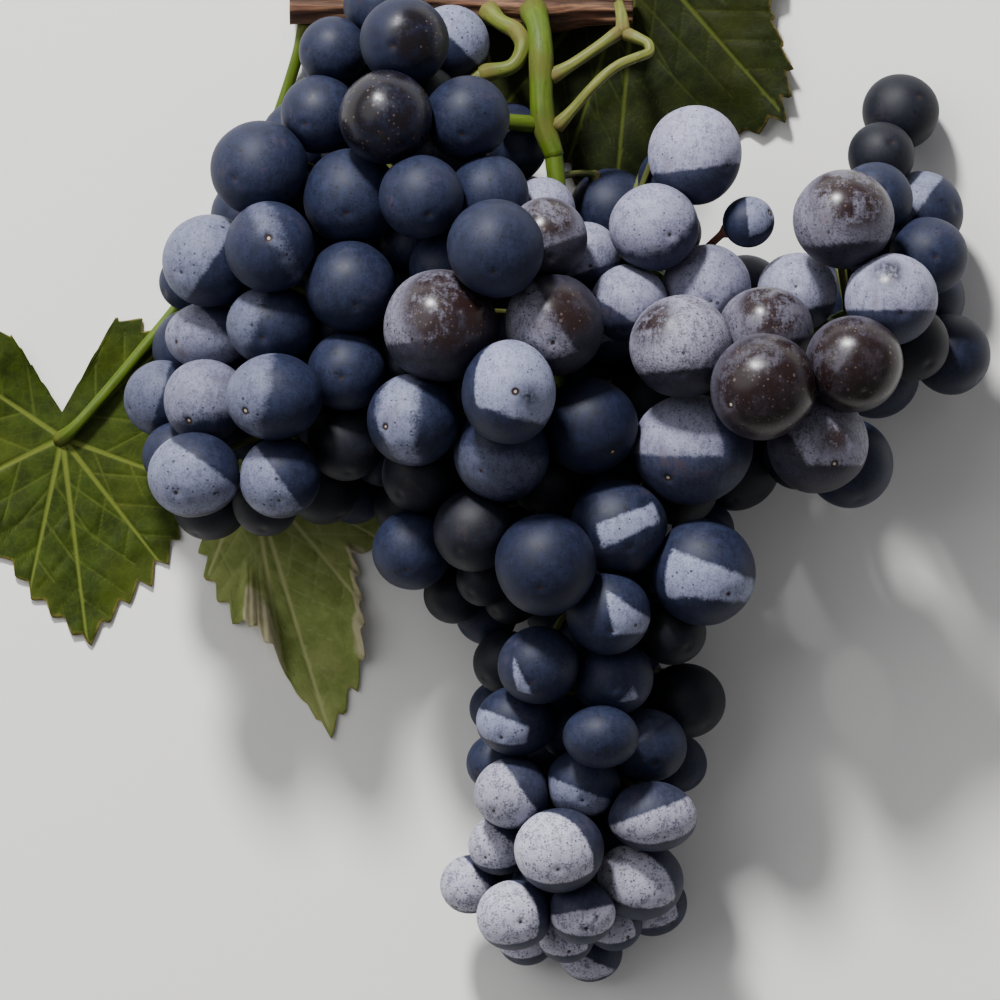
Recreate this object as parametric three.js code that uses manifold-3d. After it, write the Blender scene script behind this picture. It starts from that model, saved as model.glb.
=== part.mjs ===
// A cut bunch of dark grapes with two wings and a tail, lying on its back with its stalk end towards +Y.
// It keeps its green stalk, a forked tendril, a short length of cane and three vine leaves.
// Millimetres, +X to the right and +Z up. The origin is under the middle of the whole piece.
import * as THREE from "three";
import { mergeVertices } from "three/addons/utils/BufferGeometryUtils.js";
import Module from "manifold-3d";

const wasm = await Module();
wasm.setup();

// Cane
const caneDiameter = 8.6;
const caneY = 95.6;
const caneLeftX = -49;
const caneRightX = 17;
const caneZ = 6.4;
const caneSides = 8;
const caneNodeSwell = 1.18;
// Thickness of the cane against its diameter, and the distance from its node, between its two ends
const caneShape = [[0.96, -10], [caneNodeSwell, -3], [caneNodeSwell, 2], [0.94, 8]];
const caneEndThickness = 0.9;

// Stalks
const stalkDiameter = 4.4;
const rachisDiameter = 3;
const rachisTipDiameter = 1.6;
const sideStalkDiameter = 2.4;
const tendrilDiameter = 2.1;
const tendrilRiserDiameter = 2.4;
const tendrilThinDiameter = 1.9;
const petioleDiameter = 2.2;
const stubDiameter = 3.4;
const stubBase = [-2.9, 71.9, 22.6];
const stubTip = [-7.6, 72.3, 25.4];
const stemSides = 6;
const rodSides = 5;

// Leaves
const bladeThickness = 1;
const bladeSector = 35;
const bladeMargin = 5;

// Packing of the berries
const seatGap = 0.3;
const berryGap = 0.2;
const sidewaysShare = 0.3;
const homePull = 0.25;
const heightPull = 0.03;
const settleRounds = 320;
const finishRounds = 120;
const nearby = 9;
const linkDepth = 0.7;
const linkClear = 2.4;
const seatSlack = 0.35;
const touching = 2.8;
const parallel = 1e-6;
const weldDistance = 1e-4;
const grazing = 0.2;
const hiddenNodeSize = 14;
const smallestHiddenNode = 4;
const largeDiameter = 15;
const largeSides = 8;
const smallSides = 7;
const hiddenSides = 5;
const frontBands = 4;
const hiddenBands = 3;

// Fill behind the berries that show
const backTop = 84;
const backLeft = -72;
const backCourses = 13;
const backSteps = 12;
const backSpacing = 17;
const backCourseStep = 15;
const backDiameter = 15.6;
const backInset = 8.6;
const flankSpacing = 19;
const flankDiameter = 14.6;
const flankInset = 9.5;
const flankHeight = 0.5;
const flankShared = 4;
const coreSpacing = 3;
const coreDiameter = 11.4;
const coreHeight = 0.5;
const coreOpen = 0.92;
const coreReach = 11;
const coreSectors = 6;
const coreCrowding = 0.72;
const crowding = 0.8;
const edgeFall = 0.42;
const lowestHome = 9;

// The lobes of the bunch: a core line, the half width round it and the height of its berries at both ends.
const lobes = [
  { name: "left_wing", from: [-30, 78], to: [-56, 7], half: 26, crown: [34, 35] },
  { name: "centre", from: [-8, 46], to: [-4, 2], half: 32, crown: [44, 45] },
  { name: "right_wing", from: [34, 42], to: [58, 33], half: 30, crown: [42, 42] },
  { name: "waist", from: [-4, -2], to: [14, -22], half: 25, crown: [42, 34] },
  { name: "tail", from: [9, -30], to: [4, -70], half: 19, crown: [32, 24] },
];

// The rows of berries: the node they belong to, the row's start and end, how far its middle bows to the
// left of the way it runs, how far its two ends stand proud of the lobe and the berries' diameters in order.
const rows = [
  ["left_wing_edge", [-64, 45], [-66.5, 5.5], 1, [-1, -1], [17, 14.4, 15.2, 16.2]],
  ["left_wing_middle", [-53, 62.5], [-50.5, 5], 0, [0, 3], [17.5, 16.3, 15.4, 16.8, 14.6]],
  ["left_wing_inner", [-43, 73.5], [-37, 40], 2.5, [-3, 0], [14.2, 17.5, 16.4]],
  ["left_wing_under", [-37, 24.5], [-64, 0], 11, [-5, -14], [14.4, 14.4, 13.7, 12, 14.2]],
  ["left_wing_brow", [-40.4, 85.5], [-22, 57.5], 2, [-4, 3], [12.6, 17, 15.2]],
  ["left_wing_top", [-26.5, 85.5], [-8.5, 57], 2.4, [3, -4], [16.3, 15.4, 14.4]],
  ["left_wing_top", [-18, 87], [-22, 76], 0, [-10, -13], [14.2, 12]],
  ["left_wing_tip", [-68, 41.5], [-58, 40], 0, [-12, -12], [11, 11]],
  ["left_wing_far", [-73, 19.5], [-70.5, 9], 0, [-9, -13], [13.7, 12]],
  ["centre_left", [-20, 44], [-25.5, 28.5], -3.6, [-8, -9], [12.5, 15.6, 13.6]],
  ["centre_top", [-9.5, 47], [6.5, 48], 2.4, [6, -16], [17.5, 14.8, 12.2]],
  ["centre_top", [0.5, 54], [-7, 52], 0, [-8, -20], [11.8, 10.6]],
  ["centre_largest", [-19.5, 33], [-19.5, 33], 0, [6, 6], [20.5]],
  ["centre_right", [1.5, 33.5], [1.5, 33.5], 0, [5, 5], [18.2]],
  ["centre_right_behind", [9, 35], [9, 35], 0, [-11, -11], [14.2]],
  ["centre_middle", [-7, 20.5], [-8, 9], 0, [8, -3], [17.9, 17.5]],
  ["centre_middle", [-12, 18], [0, 4], 0, [-9, -12], [12.5, 13]],
  ["centre_low_left", [-24.5, 15], [-24.5, 15], 0, [0, 0], [16.7]],
  ["centre_low_right", [8, 14], [19, 19], 0, [1, -13], [17.5, 13.4]],
  ["right_wing_brow", [28.5, 65.5], [16, 37.5], -1.5, [4, -1], [17.3, 16, 14.1]],
  ["right_wing_brow", [24, 61.5], [24, 51], 0, [-10, -12], [11.6, 11.4]],
  ["right_wing_rise", [48, 39.5], [40.5, 22], -3, [-7, 6], [14.4, 16.3, 19]],
  ["right_wing_inner", [31, 40], [25.5, 29.5], 0, [-4, 4], [16.3, 18.6]],
  ["right_wing_foot", [28, 9.5], [26, 2.5], 0, [5, -10], [20.9, 14]],
  ["right_wing_top", [57, 53], [65.5, 38.5], 0, [3, -1], [18.2, 16.7]],
  ["right_wing_far", [63, 57], [68.5, 74.5], 1.2, [-7, -9], [13.7, 12.2, 14]],
  ["right_wing_far", [72, 55], [72, 55], 0, [-9, -9], [15]],
  ["right_wing_far", [73, 46.5], [70, 30], -2, [-9, -9], [14.4, 13.6]],
  ["right_wing_front", [58, 25], [38.5, 6], 6, [4, -9], [17.5, 18.2, 17]],
  ["right_wing_front", [56, 7.5], [47.5, 8], 0, [-9, -14], [16, 12.9]],
  ["waist_left", [-23, 5], [-17.5, -18], -3.6, [-6, -13], [13.7, 14.4, 10.8]],
  ["waist_left", [-26.5, -1], [-18, -1], 0, [-15, -16], [10.8, 11.6]],
  ["waist_front", [-13.5, -6], [14, -5.5], -6.2, [-5, 2], [14.8, 18.2, 17.5]],
  ["waist_right", [29.5, -14.5], [12, -21.5], 0, [3, 3], [19, 15.2]],
  ["waist_low", [-11.5, -15], [-6.5, -18.5], 0, [-12, -13], [10, 10]],
  ["tail_right_behind", [23.5, -25], [25, -50.5], 0, [-9, -8], [12.2, 14, 11.4]],
  ["tail_left_behind", [-7, -31], [-7, -50.5], 0.5, [-9, -8], [11.8, 10.6, 11]],
  ["tail_left", [-1.5, -32], [-6.3, -54], -1, [3, 3], [14.4, 13.6, 13.4]],
  ["tail_left", [-8.5, -66], [-14, -73.5], 0, [-3, 0], [11.2, 10.8]],
  ["tail_middle", [12.5, -34], [7, -54], 1, [4, 2], [14, 12.6, 13]],
  ["tail_belly", [3, -66.5], [-5.5, -79], 0, [5, 3], [15.8, 13.4]],
  ["tail_right", [20, -47.5], [17.5, -73], 1.5, [1, 0], [13.8, 14.4, 15.2]],
  ["tail_end", [7, -78.5], [9.5, -86], 0, [0, -5], [11.8, 11.2]],
  ["tail_end", [-2.5, -83.5], [20, -77], -2, [-8, -6], [10.3, 10, 10.4, 12.2]],
];

// The small berry that hangs apart above the right wing, on a stem of its own.
const loneBerry = { at: [38.8, 53, 33], diameter: 9.3, stemDiameter: 1.5 };

// The open gaps behind that berry and below the left wing, where no berry lies.
const openGaps = [
  { at: [43, 62], radius: 17 },
  { at: [-54, -12], radius: 10 },
];

// Stems: node, route, diameter at both ends and steps along it.
const stemRoutes = [
  {
    name: "main_stalk",
    route: [
      [-2, 93.4, 11.9], [-1.1, 90.2, 17.2], [-0.7, 85.5, 20], [-0.6, 76, 22], [0, 71.3, 22.4],
      [1.6, 66.5, 23],
    ],
    diameters: [stalkDiameter, stalkDiameter],
    steps: 7,
  },
  {
    name: "rachis_upper",
    route: [[1.7, 66, 23], [2.4, 59, 23.5], [2.6, 45, 24], [2.5, 20, 24], [5, 0, 22]],
    diameters: [rachisDiameter, rachisDiameter],
    steps: 6,
  },
  {
    name: "rachis_lower",
    route: [[5.1, -0.6, 22], [9, -20, 18], [9, -45, 14.5], [4, -66, 11], [2, -80, 9]],
    diameters: [rachisDiameter, rachisTipDiameter],
    steps: 6,
  },
  {
    name: "left_wing_loop",
    route: [
      [-10.3, 93.4, 12], [-8.4, 91.6, 15], [-5.2, 89.5, 17.4], [-4.2, 86.8, 18.8], [-6, 83.2, 19.8],
      [-11.4, 81.7, 20],
    ],
    diameters: [sideStalkDiameter, sideStalkDiameter],
    steps: 7,
  },
  {
    name: "left_wing_stalk",
    route: [[-11.9, 81.5, 20], [-24, 72, 20.5], [-38, 50, 20.5], [-50, 16, 19]],
    diameters: [sideStalkDiameter, rachisTipDiameter],
    steps: 5,
  },
  {
    name: "right_wing_stalk",
    route: [[4.6, 49, 24], [14, 47.2, 24.6], [29, 38, 22], [46, 31, 21], [58, 36, 21]],
    diameters: [sideStalkDiameter, rachisTipDiameter],
    steps: 6,
  },
  {
    name: "tendril_upper_arm",
    route: [[2, 81.4, 21], [5.7, 83.6, 20.5], [10.5, 86.9, 19.5], [13.6, 89.1, 18.5]],
    diameters: [tendrilDiameter, tendrilDiameter],
    steps: 3,
  },
  {
    name: "tendril_riser",
    route: [[15, 90.1, 17.8], [14.8, 92.6, 15.6], [14.4, 94.6, 12.6]],
    diameters: [tendrilRiserDiameter, tendrilDiameter],
    steps: 3,
  },
  {
    name: "tendril_lower_arm",
    route: [
      [2.9, 72, 23], [5.7, 75, 23.5], [8.6, 78.3, 24], [11.4, 81.1, 24], [14.3, 83.2, 23.5],
      [17.6, 84.6, 22.5],
    ],
    diameters: [tendrilThinDiameter, tendrilThinDiameter],
    steps: 5,
  },
  {
    name: "tendril_hook",
    route: [[18.2, 84.8, 22.4], [20, 85.7, 21.6], [19.8, 87.2, 20.6], [18.2, 88.2, 19.6], [16.3, 89, 18.6]],
    diameters: [tendrilThinDiameter, tendrilDiameter],
    steps: 5,
  },
  {
    name: "low_leaf_petiole",
    route: [
      [-30, 90.6, 5], [-33, 80, 1.8], [-44, 55, 1.2], [-53, 32, 2.2], [-57, 20, 2.5], [-57, 7, 2.5],
    ],
    diameters: [petioleDiameter, petioleDiameter],
    steps: 6,
  },
  {
    name: "left_leaf_petiole",
    route: [
      [-46, 90.6, 5.2], [-50, 78, 1.8], [-57, 60, 1.2], [-68, 41, 2.2], [-80, 26, 2.5], [-91, 13.5, 2.5],
    ],
    diameters: [petioleDiameter, petioleDiameter],
    steps: 6,
  },
  {
    name: "top_leaf_petiole",
    route: [[1.5, 102, 7.6], [6, 104.6, 6], [12, 106.2, 3.6], [17, 106.5, 2.5]],
    diameters: [petioleDiameter, petioleDiameter],
    steps: 4,
  },
];

// Leaves: the point where the petiole joins, and the outline as directions in degrees with the reach from it.
const leaves = [
  {
    name: "top_leaf",
    joint: [18, 106.5],
    outline: [
      [-95, 58], [-86, 45], [-80, 36], [-59, 42], [-49, 43], [-38, 37.5], [-25, 28], [2, 32], [30, 27],
      [62, 24], [80, 6], [106, 22], [140, 27], [176, 34], [200, 30], [221, 42], [230, 49], [241, 40],
      [252, 44],
    ],
  },
  {
    name: "low_leaf",
    joint: [-57, 6],
    outline: [
      [-73, 54], [-63, 46], [-54, 42], [-46, 34], [-36, 28], [-24, 30], [-6, 24], [28, 22], [66, 19], [92, 5],
      [128, 15], [168, 13], [206, 12], [230, 15], [249, 22.5], [266, 30], [280, 41],
    ],
  },
  {
    name: "left_leaf",
    joint: [-93, 12],
    outline: [
      [-83, 40], [-70, 34], [-58, 32], [-44, 30], [-29, 27], [-10, 21], [14, 24], [42, 29], [66, 26],
      [90, 5], [116, 23], [146, 28], [178, 22], [206, 28], [236, 24], [260, 31],
    ],
  },
];

// Materials
function plain(name, color, roughness) {
  return new THREE.MeshStandardMaterial({ name, color, roughness, metalness: 0 });
}

const berrySkin = plain("berry_skin", 0x2d3350, 0.45);
const greenStem = plain("green_stem", 0x6f8a2e, 0.6);
const tendrilSkin = plain("tendril_skin", 0x98965a, 0.6);
const caneBark = plain("cane_bark", 0x5d4030, 0.85);
const leafBlade = plain("leaf_blade", 0x3f4d1f, 0.6);

// Solids
function closed(geometry) {
  const bare = geometry.clone();
  bare.deleteAttribute("normal");
  bare.deleteAttribute("uv");
  return mergeVertices(bare, weldDistance);
}

function toSolid(geometry) {
  const merged = closed(geometry);
  const vertProperties = new Float32Array(merged.attributes.position.array);
  const triVerts = new Uint32Array(merged.index.array);
  return new wasm.Manifold(new wasm.Mesh({ numProp: 3, vertProperties, triVerts }));
}

function toGeometry(solid) {
  const mesh = solid.getMesh();
  const geometry = new THREE.BufferGeometry();
  geometry.setAttribute("position", new THREE.BufferAttribute(new Float32Array(mesh.vertProperties), 3));
  geometry.setIndex(new THREE.BufferAttribute(new Uint32Array(mesh.triVerts), 1));
  return geometry;
}

const bunch = new THREE.Group();

function addPart(name, geometry, material) {
  const mesh = new THREE.Mesh(geometry, material);
  mesh.name = name;
  bunch.add(mesh);
  return mesh;
}

// Distances
function nearestOnSegment(point, from, to) {
  const along = from.map((value, axis) => to[axis] - value);
  const length2 = along.reduce((sum, value) => sum + value * value, 0);
  const dot = along.reduce((sum, value, axis) => sum + value * (point[axis] - from[axis]), 0);
  const share = length2 > 0 ? Math.min(Math.max(dot / length2, 0), 1) : 0;
  const foot = from.map((value, axis) => value + along[axis] * share);
  const away = Math.sqrt(foot.reduce((sum, value, axis) => sum + (point[axis] - value) ** 2, 0));
  return { share, foot, away };
}

// Height of the berries on the bunch's upper face
function domeHeight(x, y) {
  let best = lowestHome;
  for (const lobe of lobes) {
    const { share, away } = nearestOnSegment([x, y], lobe.from, lobe.to);
    const crown = lobe.crown[0] + (lobe.crown[1] - lobe.crown[0]) * share;
    best = Math.max(best, crown * (1 - edgeFall * (away / lobe.half) ** 2));
  }
  return best;
}

// Height of the blades that lie under the berries
function groundHeight(x, y) {
  let ground = 0;
  for (const leaf of leaves) {
    const [jointX, jointY] = leaf.joint;
    const bearing = (Math.atan2(y - jointY, x - jointX) * 180) / Math.PI;
    const reach = Math.hypot(x - jointX, y - jointY);
    const near = leaf.outline.filter(([angle]) => bearingGap(angle, bearing) < bladeSector);
    if (reach < Math.max(0, ...near.map(([, far]) => far)) + bladeMargin) {
      ground = bladeThickness + seatGap;
    }
  }
  return ground;
}

function bearingGap(first, second) {
  const turn = Math.abs(first - second) % 360;
  return Math.min(turn, 360 - turn);
}

// Berries of one row, spread along its bow by their own sizes
function rowBerries([node, start, end, bow, rise, diameters]) {
  const steps = diameters.slice(1).map((diameter, index) => (diameter + diameters[index]) / 2);
  const total = steps.reduce((sum, step) => sum + step, 0) || 1;
  const [runX, runY] = [end[0] - start[0], end[1] - start[1]];
  const run = Math.hypot(runX, runY) || 1;
  let gone = 0;
  return diameters.map((diameter, index) => {
    gone += index > 0 ? steps[index - 1] : 0;
    const share = gone / total;
    const side = 4 * bow * share * (1 - share);
    const x = start[0] + runX * share - (runY / run) * side;
    const y = start[1] + runY * share + (runX / run) * side;
    const z = domeHeight(x, y) + rise[0] + (rise[1] - rise[0]) * share;
    return berryAt(node, [x, y, z], diameter, diameter > largeDiameter ? largeSides : smallSides);
  });
}

function berryAt(node, place, diameter, sides) {
  const [x, y, z] = place;
  const radius = diameter / 2;
  const height = Math.max(z, radius + groundHeight(x, y));
  return { node, home: [x, y, height], place: [x, y, height], radius, sides, pulls: [] };
}

function lobeHolding(x, y, inset) {
  return lobes.find((lobe) => nearestOnSegment([x, y], lobe.from, lobe.to).away < lobe.half - inset);
}

// Berries on the underside, in staggered courses inside the outline
function backBerries(taken) {
  const found = [];
  for (let course = 0; course < backCourses; course += 1) {
    const y = backTop - course * backCourseStep;
    for (let step = 0; step < backSteps; step += 1) {
      const x = backLeft + (step + (course % 2) / 2) * backSpacing;
      const lobe = lobeHolding(x, y, backInset);
      const berry = berryAt("hidden", [x, y, 0], backDiameter, hiddenSides);
      if (lobe && !crowded(berry, taken)) {
        found.push(berry);
      }
    }
  }
  return found;
}

// Berries round the flanks, half way up, where the rows leave room
function flankBerries(taken) {
  const found = [];
  for (const lobe of lobes) {
    for (const spot of flankSpots(lobe)) {
      const [x, y] = spot;
      const place = [x, y, domeHeight(x, y) * flankHeight];
      const others = lobes.filter((other) => other !== lobe);
      const inOther = others.some((other) => lobeDistance(spot, other) < other.half - flankShared);
      const berry = berryAt("hidden", place, flankDiameter, hiddenSides);
      if (!inOther && !crowded(berry, [...taken, ...found])) {
        found.push(berry);
      }
    }
  }
  return found;
}

// Berries half way down, under the gaps that would let light through the bunch
function coreBerries(shown, behind) {
  const found = [];
  for (const lobe of lobes) {
    for (const [x, y] of gridSpots(lobe)) {
      const open = [...shown, ...behind, ...found].every(({ home, radius }) => {
        return Math.hypot(x - home[0], y - home[1]) > radius * coreOpen;
      });
      const berry = berryAt("hidden", [x, y, domeHeight(x, y) * coreHeight], coreDiameter, hiddenSides);
      if (open && enclosed(x, y, shown) && !crowded(berry, shown, coreCrowding)) {
        found.push(berry);
      }
    }
  }
  return found;
}

// Whether berries stand round a spot on all sides, a little way off
function enclosed(x, y, shown) {
  const filled = new Set();
  for (const { home, radius } of shown) {
    const [dx, dy] = [home[0] - x, home[1] - y];
    if (Math.hypot(dx, dy) < radius + coreReach) {
      filled.add(Math.floor(((Math.atan2(dy, dx) / Math.PI + 1) / 2) * coreSectors) % coreSectors);
    }
  }
  return filled.size >= coreSectors - 1;
}

// A square grid of spots over a lobe
function gridSpots(lobe) {
  const [leftX, rightX] = [lobe.from[0], lobe.to[0]].sort((first, second) => first - second);
  const [lowY, highY] = [lobe.from[1], lobe.to[1]].sort((first, second) => first - second);
  const spots = [];
  for (let y = highY + lobe.half; y > lowY - lobe.half; y -= coreSpacing) {
    for (let x = leftX - lobe.half; x < rightX + lobe.half; x += coreSpacing) {
      if (lobeDistance([x, y], lobe) < lobe.half) {
        spots.push([x, y]);
      }
    }
  }
  return spots;
}

function crowded(berry, others, limit = crowding) {
  return others.some((other) => farBetween(berry.home, other.home) < (berry.radius + other.radius) * limit);
}

function lobeDistance(spot, lobe) {
  return nearestOnSegment(spot, lobe.from, lobe.to).away;
}

function farBetween(first, second) {
  return Math.sqrt(first.reduce((sum, value, axis) => sum + (value - second[axis]) ** 2, 0));
}

// Evenly spaced spots round a lobe, just inside its outline
function flankSpots(lobe) {
  const radius = lobe.half - flankInset;
  const [dx, dy] = [lobe.to[0] - lobe.from[0], lobe.to[1] - lobe.from[1]];
  const straight = Math.hypot(dx, dy);
  const round = Math.PI * radius;
  const count = Math.round((2 * (straight + round)) / flankSpacing);
  const heading = Math.atan2(dy, dx);
  const spots = [];
  for (let index = 0; index < count; index += 1) {
    let gone = (index * 2 * (straight + round)) / count;
    const farSide = gone >= straight + round;
    gone -= farSide ? straight + round : 0;
    const back = farSide ? Math.PI : 0;
    const corner = farSide ? lobe.to : lobe.from;
    const along = Math.min(gone, straight);
    const turn = Math.max(gone - straight, 0) / radius;
    const side = heading + back - Math.PI / 2 + turn;
    spots.push([
      corner[0] + Math.cos(heading + back) * along + Math.cos(side) * radius,
      corner[1] + Math.sin(heading + back) * along + Math.sin(side) * radius,
    ]);
  }
  return spots;
}

// The cane and the routes of the stems as straight pieces that the berries keep clear of
function stemPieces() {
  const caneRadius = (caneDiameter / 2) * caneNodeSwell;
  const canePiece = { from: [caneLeftX, caneY, caneZ], to: [caneRightX, caneY, caneZ], radius: caneRadius };
  const pieces = stemRoutes.flatMap(({ route, diameters, steps }) => {
    const points = stemCurve(route).getSpacedPoints(steps).map((point) => point.toArray());
    const radius = Math.max(...diameters) / 2;
    return points.slice(1).map((point, index) => ({ from: points[index], to: point, radius }));
  });
  const stubPiece = { from: stubBase, to: stubTip, radius: stubDiameter / 2 };
  const lonePiece = { from: loneBerry.at, to: loneBerry.at, radius: loneBerry.diameter / 2 };
  return [canePiece, stubPiece, lonePiece, ...pieces];
}

function stemCurve(route) {
  return new THREE.CatmullRomCurve3(route.map((point) => new THREE.Vector3(...point)));
}

// Moves two berries apart, mostly up and down so that each keeps its place seen from above
function partPair(first, second, sideways) {
  const gap = first.place.map((value, axis) => value - second.place[axis]);
  const apart = Math.sqrt(gap[0] ** 2 + gap[1] ** 2 + gap[2] ** 2);
  const short = first.radius + second.radius + berryGap - apart;
  if (short <= 0) {
    return;
  }
  const lean = [gap[0] * sideways, gap[1] * sideways, gap[2]];
  const size = Math.sqrt(lean[0] ** 2 + lean[1] ** 2 + lean[2] ** 2) || 1;
  for (const axis of [0, 1, 2]) {
    const move = (lean[axis] / size) * short * 0.5;
    first.place[axis] += move;
    second.place[axis] -= move;
  }
}

// Moves a berry off a stem
function clearStem(berry, piece) {
  const { foot, away } = nearestOnSegment(berry.place, piece.from, piece.to);
  const short = berry.radius + piece.radius + seatGap + berryGap - away;
  if (short > 0) {
    for (const axis of [0, 1, 2]) {
      berry.place[axis] += ((berry.place[axis] - foot[axis]) / (away || 1)) * short;
    }
  }
}

function settle(berries) {
  const pieces = stemPieces();
  const pairs = [];
  berries.forEach((first, index) => {
    for (const second of berries.slice(index + 1)) {
      const flat = Math.hypot(first.home[0] - second.home[0], first.home[1] - second.home[1]);
      if (flat < first.radius + second.radius + nearby) {
        pairs.push([first, second]);
      }
    }
  });
  for (let round = 0; round < settleRounds + finishRounds; round += 1) {
    const finishing = round >= settleRounds;
    for (const berry of berries) {
      if (!finishing) {
        berry.place[0] += (berry.home[0] - berry.place[0]) * homePull;
        berry.place[1] += (berry.home[1] - berry.place[1]) * homePull;
        berry.place[2] += (berry.home[2] - berry.place[2]) * heightPull;
      }
    }
    for (const [first, second] of pairs) {
      partPair(first, second, finishing ? 1 : sidewaysShare);
    }
    for (const berry of berries) {
      pieces.forEach((piece) => clearStem(berry, piece));
      const floor = berry.radius + groundHeight(berry.place[0], berry.place[1]);
      berry.place[2] = Math.max(berry.place[2], floor);
    }
  }
}

// The next berry to join and the joined one that it lies nearest to, with no other thing between them
function nearestPair(joined, waiting) {
  let best = { gap: Infinity };
  for (const inner of joined) {
    for (const outer of waiting) {
      const gap = farBetween(inner.place, outer.place) - inner.radius - outer.radius;
      if (gap < best.gap && (best.gap === Infinity || !blocked(inner, outer))) {
        best = { gap, inner, outer };
      }
    }
  }
  return best;
}

// Whether a stem or another berry stands too near to the spot where two berries would be linked
function blocked(inner, outer) {
  const share = (inner.radius + farBetween(inner.place, outer.place) - outer.radius) / 2;
  const part = share / farBetween(inner.place, outer.place);
  const spot = inner.place.map((value, axis) => value + (outer.place[axis] - value) * part);
  return obstacles.some((piece) => {
    const own = piece.from === inner.place || piece.from === outer.place;
    return !own && nearestOnSegment(spot, piece.from, piece.to).away < piece.radius + linkClear;
  });
}

// Groups the berries that don't show into nodes of berries that touch
function hiddenNodes(berries) {
  const waiting = [...berries];
  const groups = [];
  while (waiting.length) {
    const group = [waiting.shift()];
    while (waiting.length && group.length < hiddenNodeSize) {
      const { gap, outer } = nearestPair(group, waiting);
      if (gap > touching) {
        break;
      }
      group.push(outer);
      waiting.splice(waiting.indexOf(outer), 1);
    }
    groups.push(group);
  }
  return groups.filter((group) => group.length >= smallestHiddenNode);
}

// Links the berries of one node along the shortest tree: each reaches into the one that it is drawn to
function linkNode(berries) {
  const joined = [berries[0]];
  const waiting = berries.slice(1);
  while (waiting.length) {
    const { inner, outer } = nearestPair(joined, waiting);
    const reach = farBetween(inner.place, outer.place) - inner.radius * linkDepth;
    outer.pulls.push({ towards: inner.place, reach });
    joined.push(outer);
    waiting.splice(waiting.indexOf(outer), 1);
  }
}

// Seats the nodes on each other, one berry of each almost touching a berry of a node that is seated already
function seatNodes(nodes) {
  const seated = [...nodes[0]];
  const waiting = nodes.slice(1);
  while (waiting.length) {
    const { inner, outer } = nearestPair(seated, waiting.flat());
    const far = farBetween(inner.place, outer.place);
    const towardsOuter = outer.place.map((value, axis) => (value - inner.place[axis]) / far);
    const reach = far - skinReach(inner, towardsOuter) - seatSlack;
    outer.pulls.push({ towards: inner.place, reach });
    const index = waiting.findIndex((node) => node.includes(outer));
    seated.push(...waiting[index]);
    waiting.splice(index, 1);
  }
}

// How far a berry's faceted skin lies from its middle in one direction
function skinReach(berry, direction) {
  const skin = berryGeometry(berry).toNonIndexed().attributes.position;
  const middle = new THREE.Vector3(...berry.place);
  const way = new THREE.Vector3(...direction);
  let reach = berry.radius;
  for (let index = 0; index < skin.count; index += 3) {
    const corners = [0, 1, 2].map((step) => new THREE.Vector3().fromBufferAttribute(skin, index + step));
    const plane = new THREE.Plane().setFromCoplanarPoints(...corners);
    const slope = plane.normal.dot(way);
    if (slope > grazing) {
      reach = Math.min(reach, -plane.distanceToPoint(middle) / slope);
    }
  }
  return reach;
}

// A berry as a faceted ball, with the corner nearest to each pull drawn out that way
function berryGeometry({ radius, sides, place, pulls = [] }) {
  const middle = new THREE.Vector3(...place);
  const ways = pulls.map(({ towards }) => new THREE.Vector3(...towards).sub(middle).normalize());
  const ball = new THREE.SphereGeometry(radius, sides, sides === hiddenSides ? hiddenBands : frontBands);
  ball.applyMatrix4(turnTo(...ways));
  ball.translate(...place);
  const skin = closed(ball);
  const corners = skin.attributes.position;
  const corner = new THREE.Vector3();
  const drawn = new Set();
  ways.forEach((way, pull) => {
    let best = { index: 0, dot: -Infinity };
    for (let index = 0; index < corners.count; index += 1) {
      const dot = corner.fromBufferAttribute(corners, index).sub(middle).dot(way);
      best = dot > best.dot && !drawn.has(index) ? { index, dot } : best;
    }
    drawn.add(best.index);
    corner.copy(middle).addScaledVector(way, pulls[pull].reach);
    corners.setXYZ(best.index, corner.x, corner.y, corner.z);
  });
  return skin;
}

// A turn that brings a ball's pole to the first way and a line of its corners round to the second
function turnTo(first = new THREE.Vector3(0, 0, 1), second = new THREE.Vector3(1, 0, 0)) {
  const across = new THREE.Vector3().crossVectors(first, second);
  if (across.lengthSq() < parallel) {
    across.crossVectors(first, new THREE.Vector3(first.y, first.z, first.x));
  }
  across.normalize();
  const round = new THREE.Vector3().crossVectors(across, first);
  return new THREE.Matrix4().makeBasis(round.negate(), first, across);
}

function nodeSolid(berries) {
  return berries.map((berry) => toSolid(berryGeometry(berry))).reduce((body, ball) => body.add(ball));
}

function rod(from, to, radius) {
  const start = new THREE.Vector3(...from);
  const way = new THREE.Vector3(...to).sub(start);
  const shape = new THREE.CylinderGeometry(radius, radius, way.length(), rodSides);
  shape.translate(0, way.length() / 2, 0);
  const up = new THREE.Vector3(0, 1, 0);
  shape.applyQuaternion(new THREE.Quaternion().setFromUnitVectors(up, way.clone().normalize()));
  shape.translate(...from);
  return shape;
}

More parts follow.
